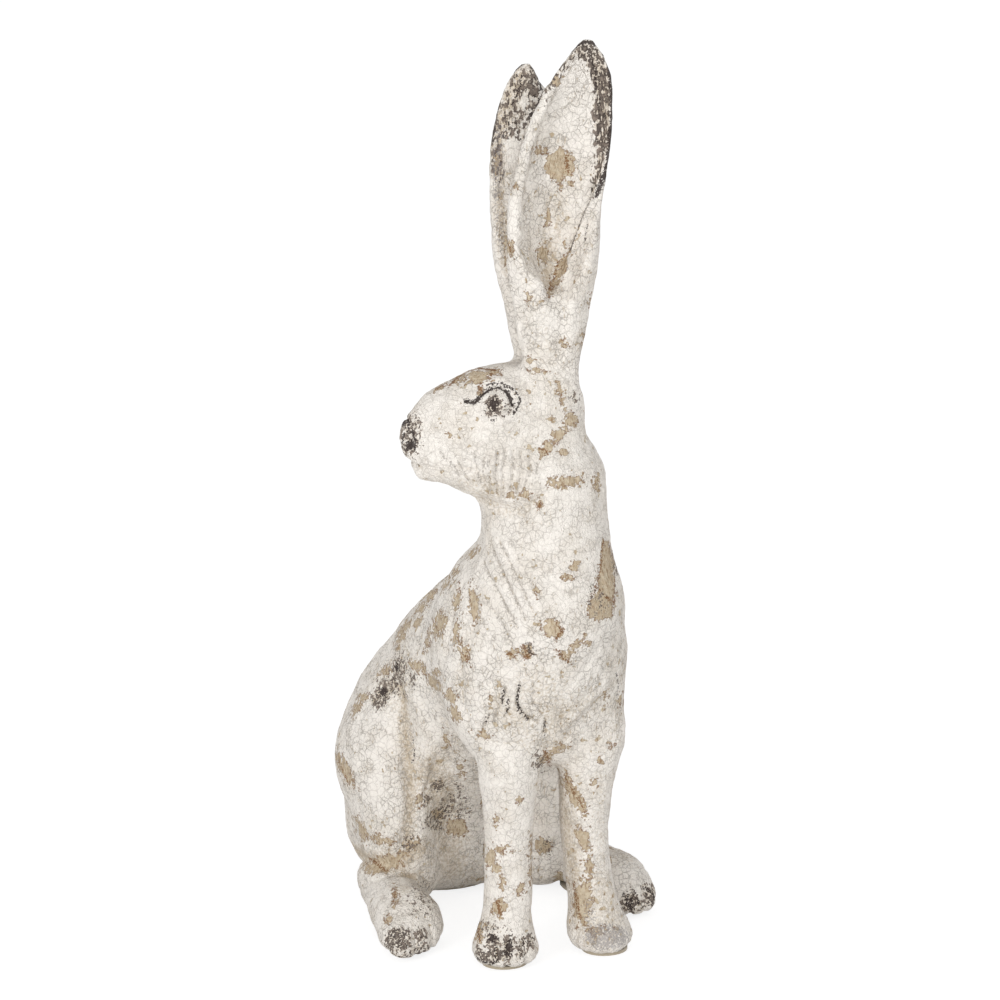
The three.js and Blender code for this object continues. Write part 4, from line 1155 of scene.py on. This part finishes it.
def add(tree, kind, inputs=(), **settings):
    """Adds a node with its settings, and fills its inputs: a node is linked by its first output
    in use, a socket is linked, and anything else is set as the input's value."""
    made = tree.nodes.new(kind)
    for key, value in settings.items():
        setattr(made, key, value)
    for key, value in dict(inputs).items():
        if isinstance(value, bpy.types.Node):
            value = next(socket for socket in value.outputs if socket.enabled)
        if isinstance(value, bpy.types.NodeSocket):
            tree.links.new(value, made.inputs[key])
        else:
            made.inputs[key].default_value = value
    return made


def material(name):
    """A new material with nothing but its output node."""
    made = bpy.data.materials.new(name)
    made.use_nodes = True
    made.node_tree.nodes.clear()
    return made, made.node_tree, made.node_tree.nodes.new("ShaderNodeOutputMaterial")


def per(millimetres):
    """Scale of a pattern on Object coordinates whose cells are that wide."""
    return 1000 / millimetres


def flat(value):
    """A colour with its fourth number."""
    return (*value, 1.0)


# What the paint's patterns are made of: width of the grain in millimetres, its detail, and whether
# it is drawn out down the figure.
GRAINS = {
    "dust": (0.95, 1.5, False),
    "sand": (1.2, 2.0, False),
    "grit": (1.9, 3.0, False),
    "crumb": (2.8, 2.0, False),
    "flake": (4.5, 3.0, False),
    "patch": (11.0, 2.0, False),
    "cloud": (22.0, 3.0, False),
    "bristle": (1.3, 2.0, True),
}
# Edges of the painted places: the grains that break them up, each with its share, and between
# which values of the sum the edge lies.
EDGES = {
    "chip": ((("flake", 0.5), ("grit", 0.55)), 0.5, 0.52),
    "rust": ((("sand", 0.55),), 0.49, 0.53),
    "groove_shade": ((("sand", 0.34), ("flake", 0.3)), 0.51, 0.54),
    "ink_and_shade": ((("sand", 0.3), ("dust", 0.14)), 0.49, 0.514),
    "pewter_and_shade": ((("sand", 0.7),), 0.46, 0.58),
}


def painted_resin():
    """Polyester resin with stone filler, cast, primed beige, painted antique white over a
    crackle medium, rubbed back, washed brown and touched up in umber: it gives the eye a dry,
    chalky white with a net of fine cracks, tan chips with darker edges, and brown wash with painted shade in
    the hollows and grooves."""
    if "painted_resin" in bpy.data.materials:
        return bpy.data.materials["painted_resin"]
    sizes, colours = bpy.context.scene.hare_sizes, bpy.context.scene.hare_colours
    made, tree, output = material("painted_resin")
    step = {"interpolation_type": "SMOOTHSTEP"}
    times, plus, largest = {"operation": "MULTIPLY"}, {"operation": "MULTIPLY_ADD"}, {"operation": "MAXIMUM"}
    tinted = {"data_type": "RGBA"}
    place = add(tree, "ShaderNodeTexCoord").outputs["Object"]
    drawn = add(tree, "ShaderNodeMapping", {"Vector": place, "Scale": (1.0, 1.0, 0.22)})
    grain = {
        name: add(tree, NOISE, {"Vector": drawn if tall else place, "Scale": per(width), "Detail": detail})
        for name, (width, detail, tall) in GRAINS.items()
    }
    mark = {
        name: add(tree, "ShaderNodeAttribute", attribute_name=name).outputs["Fac"]
        for name in (*PAINTED, "wash_and_shade", "close")
    }
    apart = add(tree, MATH, {0: mark["close"], 1: -0.7, 2: 1.0}, **plus)

    # Cracks: the net of cells is bent twice by noise. The wide cells fade in places, and the
    # small ones show most on the head and the legs.
    net = place
    for width, amount in ((8.0, 5.0), (1.8, 1.0)):
        shift = add(tree, NOISE, {"Vector": net, "Scale": per(width), "Detail": 2.0}).outputs["Color"]
        middle = add(tree, "ShaderNodeVectorMath", {0: shift, 1: (0.5, 0.5, 0.5)}, operation="SUBTRACT")
        moved = add(tree, "ShaderNodeVectorMath", {0: middle, "Scale": amount * MM}, operation="SCALE")
        net = add(tree, "ShaderNodeVectorMath", {0: net, 1: moved}, operation="ADD")
    cell, wide = sizes.crack_cell / MM, sizes.crack_width / MM
    cracks = 0.0
    for width, faint, floor, strength in ((cell, -0.34, 0.42, 1.0), (0.5 * cell, 0.3, 0.0, 0.3)):
        inputs = {"Vector": net, "Scale": per(width), "Randomness": 1.0}
        edge = add(tree, "ShaderNodeTexVoronoi", inputs, feature="DISTANCE_TO_EDGE")
        half = strength**0.4 * wide / width
        line = add(tree, RANGE, {0: edge, 1: 1.3 * half, 2: 0.35 * half, 3: 0.0, 4: strength}, **step)
        faded = add(tree, RANGE, {0: grain["patch"], 1: 0.36, 2: 0.56, 3: floor, 4: 1.0}, **step)
        line = add(tree, MATH, {0: line, 1: faded}, **times)
        share = add(tree, MATH, {0: mark["close"], 1: faint, 2: 1.0}, **plus)
        line = add(tree, MATH, {0: line, 1: share}, **times)
        cracks = add(tree, MATH, {0: line, 1: cracks}, **largest)

    # The painted places, each with its edge broken up by grains.
    shape = {}
    for name, (grains, low, high) in EDGES.items():
        field = mark[name]
        for each, share in grains:
            field = add(tree, MATH, {0: grain[each], 1: share, 2: field}, **plus)
            low, high = low + share / 2, high + share / 2
        shape[name] = add(tree, RANGE, {0: field, 1: low, 2: high}, **step)
        if name == "chip":
            rim = add(tree, RANGE, {0: field, 1: low - 0.05, 2: low}, **step)
            inner = add(tree, RANGE, {0: field, 1: high + 0.05, 2: high - 0.01}, **step)
            rim = add(tree, MATH, {0: rim, 1: inner}, **times)

    # Small chips, pits and flecks that lie all over.
    own = add(tree, MATH, {0: grain["cloud"], 1: 0.45, 2: grain["flake"]}, **plus)
    own = add(tree, MATH, {0: mark["wash_and_shade"], 1: 0.06, 2: own}, **plus)
    own = add(tree, RANGE, {0: own, 1: 0.915, 2: 0.93}, **step)
    chip = add(tree, MATH, {0: shape["chip"], 1: own}, **largest)
    places = add(tree, RANGE, {0: grain["patch"], 1: 0.42, 2: 0.6}, **step)
    places = add(tree, MATH, {0: places, 1: apart}, **times)
    pits = add(tree, RANGE, {0: grain["dust"], 1: 0.6, 2: 0.65}, **step)
    pits = add(tree, MATH, {0: pits, 1: places}, **times)
    flecks = add(tree, MATH, {0: mark["wash_and_shade"], 1: 0.07, 2: grain["bristle"]}, **plus)
    flecks = add(tree, RANGE, {0: flecks, 1: 0.635, 2: 0.68}, **step)
    flecks = add(tree, MATH, {0: flecks, 1: places}, **times)
    specks = add(tree, RANGE, {0: grain["sand"], 1: 0.72, 2: 0.75}, **step)
    specks = add(tree, MATH, {0: specks, 1: places}, **times)

    # Umber is dotted on the face and the toes and streaked on the ears, with a thin film round it.
    height = add(tree, "ShaderNodeSeparateXYZ", {0: place}).outputs["Z"]
    on_ear = add(tree, RANGE, {0: height, 1: 0.40, 2: 0.43})
    dots = add(tree, MATH, {0: grain["sand"], 1: 0.8, 2: grain["crumb"]}, **plus)
    streaks = add(tree, MATH, {0: grain["bristle"], 1: 0.8, 2: grain["crumb"]}, **plus)
    broken = add(tree, MIX, {0: on_ear, 2: dots, 3: streaks})
    umber = add(tree, MATH, {0: mark["umber"], 1: broken})
    umber = add(tree, RANGE, {0: umber, 1: 1.39, 2: 1.43}, **step)
    film = add(tree, MATH, {0: grain["crumb"], 1: 0.6, 2: mark["umber"]}, **plus)
    film = add(tree, RANGE, {0: film, 1: 0.70, 2: 0.86}, **step)

    # The coats, one over the other: what shows, how much of it, and its colour. The wash coat is brown wash
    # and painted shade, and the groove lines are painted shade.
    cloud = add(tree, RANGE, {0: grain["cloud"], 1: 0.44, 2: 0.66}, **step)
    # Mottle, with the wash and the painted shade of the hollows, the chin and the legs laid over it.
    mottle_and_shade = add(tree, MATH, {0: grain["grit"], 1: 1.3, 2: mark["wash_and_shade"]}, **plus)
    mottle_and_shade = add(tree, RANGE, {0: mottle_and_shade, 1: 0.84, 2: 1.6}, **step)
    patch = add(tree, RANGE, {0: grain["crumb"], 1: 0.35, 2: 0.68}, **step)
    ground = add(tree, MIX, {0: patch, 6: flat(colours.undercoat), 7: flat(colours.undercoat_pale)}, **tinted)
    scratch = add(tree, RANGE, {0: grain["bristle"], 1: 0.54, 2: 0.64, 4: 0.5}, **step)
    ground = add(tree, MIX, {0: scratch, 6: ground, 7: flat(colours.rust)}, **tinted)
    worn = add(tree, RANGE, {0: grain["crumb"], 1: 0.46, 2: 0.7}, **step)
    dark = add(tree, MIX, {0: worn, 6: flat(colours.umber), 7: flat(colours.umber_pale)}, **tinted)
    rims = add(tree, RANGE, {0: grain["crumb"], 1: 0.40, 2: 0.54}, **step)
    rims = add(tree, MATH, {0: rim, 1: rims}, **times)
    tint = flat(colours.paint)
    for coat, share, finish in (
        (cloud, 0.66, flat(colours.paint_shade)),
        (mottle_and_shade, 0.92, flat(colours.wash_and_shade)),
        (cracks, 0.58, flat(colours.crack)),
        (pits, 0.55, flat(colours.crack)),
        (flecks, 0.6, flat(colours.undercoat)),
        (specks, 0.7, flat(colours.umber_pale)),
        (shape["groove_shade"], 0.42, flat(colours.crack)),
        (chip, 1.0, ground),
        (rims, 0.8, flat(colours.rust)),
        (shape["rust"], 0.85, flat(colours.rust)),
        (film, 0.5, flat(colours.undercoat)),
        (umber, 0.93, dark),
        (shape["ink_and_shade"], 0.95, flat(colours.umber)),
        (shape["pewter_and_shade"], 0.6, flat(colours.pewter_and_shade)),
    ):
        over = add(tree, MATH, {0: coat, 1: share}, **times)
        tint = add(tree, MIX, {0: over, 6: tint, 7: finish}, **tinted)

    # Relief: the film of paint stands above the chips, the cracks cut into it, and all of it is
    # as rough as plaster.
    film_mm = sizes.paint_film
    relief = 0.0
    for pattern, height in (
        (chip, -1.1),
        (cracks, -0.6),
        (pits, -0.5),
        (flecks, -0.6),
        (shape["groove_shade"], -0.8),
        (grain["dust"], 2.0),
        (grain["grit"], 2.4),
        (grain["flake"], 2.2),
        (grain["bristle"], 1.7),
    ):
        relief = add(tree, MATH, {0: pattern, 1: height * film_mm, 2: relief}, **plus)
    bump = add(tree, "ShaderNodeBump", {"Height": relief, "Distance": 1.0, "Strength": 1.0})
    shine = add(tree, MATH, {0: grain["grit"], 1: 0.12, 2: 0.74}, **plus)
    inputs = {"Base Color": tint, "Roughness": shine, "Specular IOR Level": 0.3, "IOR": 1.5, "Normal": bump}
    surface = add(tree, "ShaderNodeBsdfPrincipled", inputs)
    tree.links.new(surface.outputs[0], output.inputs["Surface"])
    return made


def pressed_felt():
    """Wool felt, pressed: dull fibres in all directions, with a soft nap that lightens the edge."""
    made, tree, output = material("pressed_felt")
    colours = bpy.context.scene.hare_colours
    place = add(tree, "ShaderNodeTexCoord").outputs["Object"]
    curled = {"Vector": place, "Scale": per(0.8), "Detail": 5.0, "Distortion": 1.6}
    fibre = add(tree, NOISE, curled)
    tufts = add(tree, NOISE, {"Vector": place, "Scale": per(3.0), "Detail": 3.0})
    pale = tuple(min(1.3 * c, 1.0) for c in colours.felt)
    deep = tuple(0.7 * c for c in colours.felt)
    tint = add(tree, MIX, {0: fibre, 6: flat(deep), 7: flat(pale)}, data_type="RGBA")
    height = add(tree, MATH, {0: fibre, 1: tufts}, operation="ADD")
    bump = add(tree, "ShaderNodeBump", {"Height": height, "Distance": 0.3 * MM, "Strength": 0.8})
    inputs = {"Base Color": tint, "Roughness": 1.0, "Sheen Weight": 0.4, "Normal": bump}
    surface = add(tree, "ShaderNodeBsdfPrincipled", inputs)
    tree.links.new(surface.outputs[0], output.inputs["Surface"])
    return made


def drawn_steel():
    """Steel rod, cold drawn: a dull metal with fine scratches along the rod."""
    made, tree, output = material("drawn_steel")
    colours = bpy.context.scene.hare_colours
    place = add(tree, "ShaderNodeTexCoord").outputs["Object"]
    along = add(tree, "ShaderNodeMapping", {"Vector": place, "Scale": (1.0, 1.0, 0.02)})
    scratch = add(tree, NOISE, {"Vector": along, "Scale": per(0.4), "Detail": 3.0})
    rough = add(tree, RANGE, {"Value": scratch, "To Min": 0.3, "To Max": 0.55})
    bump = add(tree, "ShaderNodeBump", {"Height": scratch, "Distance": 0.03 * MM, "Strength": 0.5})
    inputs = {"Base Color": flat(colours.steel), "Metallic": 1.0, "Roughness": rough, "Normal": bump}
    surface = add(tree, "ShaderNodeBsdfPrincipled", inputs)
    tree.links.new(surface.outputs[0], output.inputs["Surface"])
    return made


def moulded_plug():
    """Polyethylene, moulded: a waxy, slightly uneven off-white."""
    made, tree, output = material("moulded_plug")
    colours = bpy.context.scene.hare_colours
    place = add(tree, "ShaderNodeTexCoord").outputs["Object"]
    flow = add(tree, NOISE, {"Vector": place, "Scale": per(9), "Detail": 3.0})
    grain = add(tree, NOISE, {"Vector": place, "Scale": per(0.6), "Detail": 2.0})
    pale = tuple(min(1.08 * c, 1.0) for c in colours.plug)
    tint = add(tree, MIX, {0: flow, 6: flat(colours.plug), 7: flat(pale)}, data_type="RGBA")
    bump = add(tree, "ShaderNodeBump", {"Height": grain, "Distance": 0.05 * MM, "Strength": 0.5})
    inputs = {"Base Color": tint, "Roughness": 0.5, "IOR": 1.51, "Normal": bump}
    surface = add(tree, "ShaderNodeBsdfPrincipled", inputs)
    tree.links.new(surface.outputs[0], output.inputs["Surface"])
    return made


def finish_nodes(names, finish):
    """Gives CAD nodes a material."""
    for name in names:
        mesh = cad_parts[name].data
        mesh.materials.clear()
        mesh.materials.append(finish)


# ---------------------------------------------------------------------------
# Operators.


class HareOperator:
    """What the operators share."""

    bl_options = {"REGISTER"}

    def part_castings(self, *names):
        """Parts some castings from the skin."""
        skin = skin_of()
        for name in names:
            part(skin, CASTINGS.index(name))


class HARE_OT_body(HareOperator, bpy.types.Operator):
    """Sculpt the body casting"""

    bl_idname = "hare.body"
    bl_label = "Body"

    def execute(self, context):
        self.part_castings("body_casting")
        return {"FINISHED"}


class HARE_OT_head(HareOperator, bpy.types.Operator):
    """Sculpt the head casting"""

    bl_idname = "hare.head"
    bl_label = "Head"

    def execute(self, context):
        self.part_castings("head_casting")
        return {"FINISHED"}


class HARE_OT_ears(HareOperator, bpy.types.Operator):
    """Sculpt the two ear castings"""

    bl_idname = "hare.ears"
    bl_label = "Ears"

    def execute(self, context):
        self.part_castings("ear_left_casting", "ear_right_casting")
        return {"FINISHED"}


class HARE_OT_front_legs(HareOperator, bpy.types.Operator):
    """Sculpt the two front leg castings"""

    bl_idname = "hare.front_legs"
    bl_label = "Front legs"

    def execute(self, context):
        self.part_castings("front_leg_left_casting", "front_leg_right_casting")
        return {"FINISHED"}


class HARE_OT_hind_feet(HareOperator, bpy.types.Operator):
    """Sculpt the two hind foot castings"""

    bl_idname = "hare.hind_feet"
    bl_label = "Hind feet"

    def execute(self, context):
        self.part_castings("hind_foot_left_casting", "hind_foot_right_casting")
        return {"FINISHED"}


class HARE_OT_felt(bpy.types.Operator):
    """Finish the felt pads under the feet and the rump"""

    bl_idname = "hare.felt"
    bl_label = "Felt pads"

    def execute(self, context):
        finish_nodes([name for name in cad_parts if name.startswith("felt_")], pressed_felt())
        return {"FINISHED"}


class HARE_OT_fittings(bpy.types.Operator):
    """Finish the rods and the plug inside the castings"""

    bl_idname = "hare.fittings"
    bl_label = "Rods and plug"

    def execute(self, context):
        finish_nodes([name for name in HIDDEN if "rod" in name], drawn_steel())
        finish_nodes(["base_plug"], moulded_plug())
        return {"FINISHED"}


class HARE_OT_stage(bpy.types.Operator):
    """Set up the floor, the lamps, the world and the camera"""

    bl_idname = "hare.stage"
    bl_label = "Stage"

    def execute(self, context):
        scene = context.scene
        floor_mesh = bpy.data.meshes.new("floor")
        corners = [(x * FLOOR_HALF, y * FLOOR_HALF, 0) for x, y in ((-1, -1), (1, -1), (1, 1), (-1, 1))]
        floor_mesh.from_pydata(corners, [], [(0, 1, 2, 3)])
        floor = object_from("floor", floor_mesh)
        floor_mesh.materials.append(studio_floor())

        world = bpy.data.worlds.new("studio")
        scene.world = world
        world.use_nodes = True
        tree = world.node_tree
        tree.nodes.clear()
        output = tree.nodes.new("ShaderNodeOutputWorld")
        soft = add(tree, "ShaderNodeBackground", {"Color": (1, 1, 1, 1), "Strength": 0.73})
        white = add(tree, "ShaderNodeBackground", {"Color": (1, 1, 1, 1), "Strength": 1.0})
        mixed = add(tree, "ShaderNodeMixShader", {0: eye_rays(tree), 1: soft, 2: white})
        tree.links.new(mixed.outputs[0], output.inputs["Surface"])

        lamp("key", (-2.6, -1.6, 1.3), 0.5, 25.0)
        lamp("front", (-0.9, -2.9, 0.3), 1.0, 27.0)
        camera = bpy.data.cameras.new("camera")
        camera.angle = math.radians(VIEW_ANGLE)
        camera.clip_start = 0.05
        camera.clip_end = 60
        eye = bpy.data.objects.new("camera", camera)
        eye.location = Vector(EYE * MM)
        eye.rotation_euler = Vector(BACK).to_track_quat("Z", "Y").to_euler()
        scene.collection.objects.link(eye)
        scene.camera = eye
        scene.view_settings.view_transform = "Standard"
        return {"FINISHED"}


def eye_rays(tree):
    """1 for what the eye sees, direct, mirrored or through glass, and 0 for other rays."""
    rays = add(tree, "ShaderNodeLightPath").outputs
    direct = add(tree, MATH, {0: rays["Is Camera Ray"], 1: rays["Is Glossy Ray"]})
    return add(tree, MATH, {0: direct, 1: rays["Is Transmission Ray"]}, use_clamp=True)


def lamp(name, place, size, power):
    """A square lamp that faces the figure's middle."""
    light = bpy.data.lights.new(name, "AREA")
    light.shape = "SQUARE"
    light.size = size
    light.energy = power
    holder = bpy.data.objects.new(name, light)
    holder.location = place
    aim = Vector(place) - Vector(VIEW_TARGET * MM)
    holder.rotation_euler = aim.to_track_quat("Z", "Y").to_euler()
    bpy.context.scene.collection.objects.link(holder)


def studio_floor():
    """Matt studio card: the eye sees it near white with the figure's soft shadow, and for other
    rays it is plain white card."""
    made, tree, output = material("studio_card")
    colours = bpy.context.scene.hare_colours
    place = add(tree, "ShaderNodeTexCoord").outputs["Object"]
    grain = add(tree, NOISE, {"Vector": place, "Scale": per(1.5), "Detail": 2.0})
    bump = add(tree, "ShaderNodeBump", {"Height": grain, "Distance": 0.05 * MM, "Strength": 0.2})
    shown = add(tree, "ShaderNodeBsdfDiffuse", {"Color": (0.3, 0.3, 0.3, 1), "Normal": bump})
    glow = add(tree, "ShaderNodeEmission", {"Color": flat(colours.floor), "Strength": 0.82})
    seen = add(tree, "ShaderNodeAddShader", {0: shown, 1: glow})
    card = add(tree, "ShaderNodeBsdfDiffuse", {"Color": (0.85, 0.85, 0.85, 1)})
    mixed = add(tree, "ShaderNodeMixShader", {0: eye_rays(tree), 1: card, 2: seen})
    tree.links.new(mixed.outputs[0], output.inputs["Surface"])
    return made


class HARE_PT_panel(bpy.types.Panel):
    """Lists the pieces and what may be changed"""

    bl_idname = "HARE_PT_panel"
    bl_label = "Hare"
    bl_space_type = "VIEW_3D"
    bl_region_type = "UI"
    bl_category = "Hare"

    def draw(self, context):
        for group in (context.scene.hare_sizes, context.scene.hare_colours):
            for name in group.__annotations__:
                self.layout.prop(group, name)
        for step in STEPS:
            self.layout.operator(step.bl_idname)


STEPS = (
    HARE_OT_body,
    HARE_OT_head,
    HARE_OT_ears,
    HARE_OT_front_legs,
    HARE_OT_hind_feet,
    HARE_OT_felt,
    HARE_OT_fittings,
    HARE_OT_stage,
)
CLASSES = (HareSizes, HareColours, *STEPS, HARE_PT_panel)


def register():
    """Registers the classes and hangs the settings on the scene."""
    for each in CLASSES:
        bpy.utils.register_class(each)
    bpy.types.Scene.hare_sizes = bpy.props.PointerProperty(type=HareSizes)
    bpy.types.Scene.hare_colours = bpy.props.PointerProperty(type=HareColours)


def unregister():
    """Takes the settings off the scene and the classes away."""
    del bpy.types.Scene.hare_colours
    del bpy.types.Scene.hare_sizes
    for each in reversed(CLASSES):
        bpy.utils.unregister_class(each)


def main():
    """Builds every piece and the stage."""
    register()
    for step in STEPS:
        group, name = step.bl_idname.split(".")
        getattr(getattr(bpy.ops, group), name)()


if __name__ == "__main__":
    main()
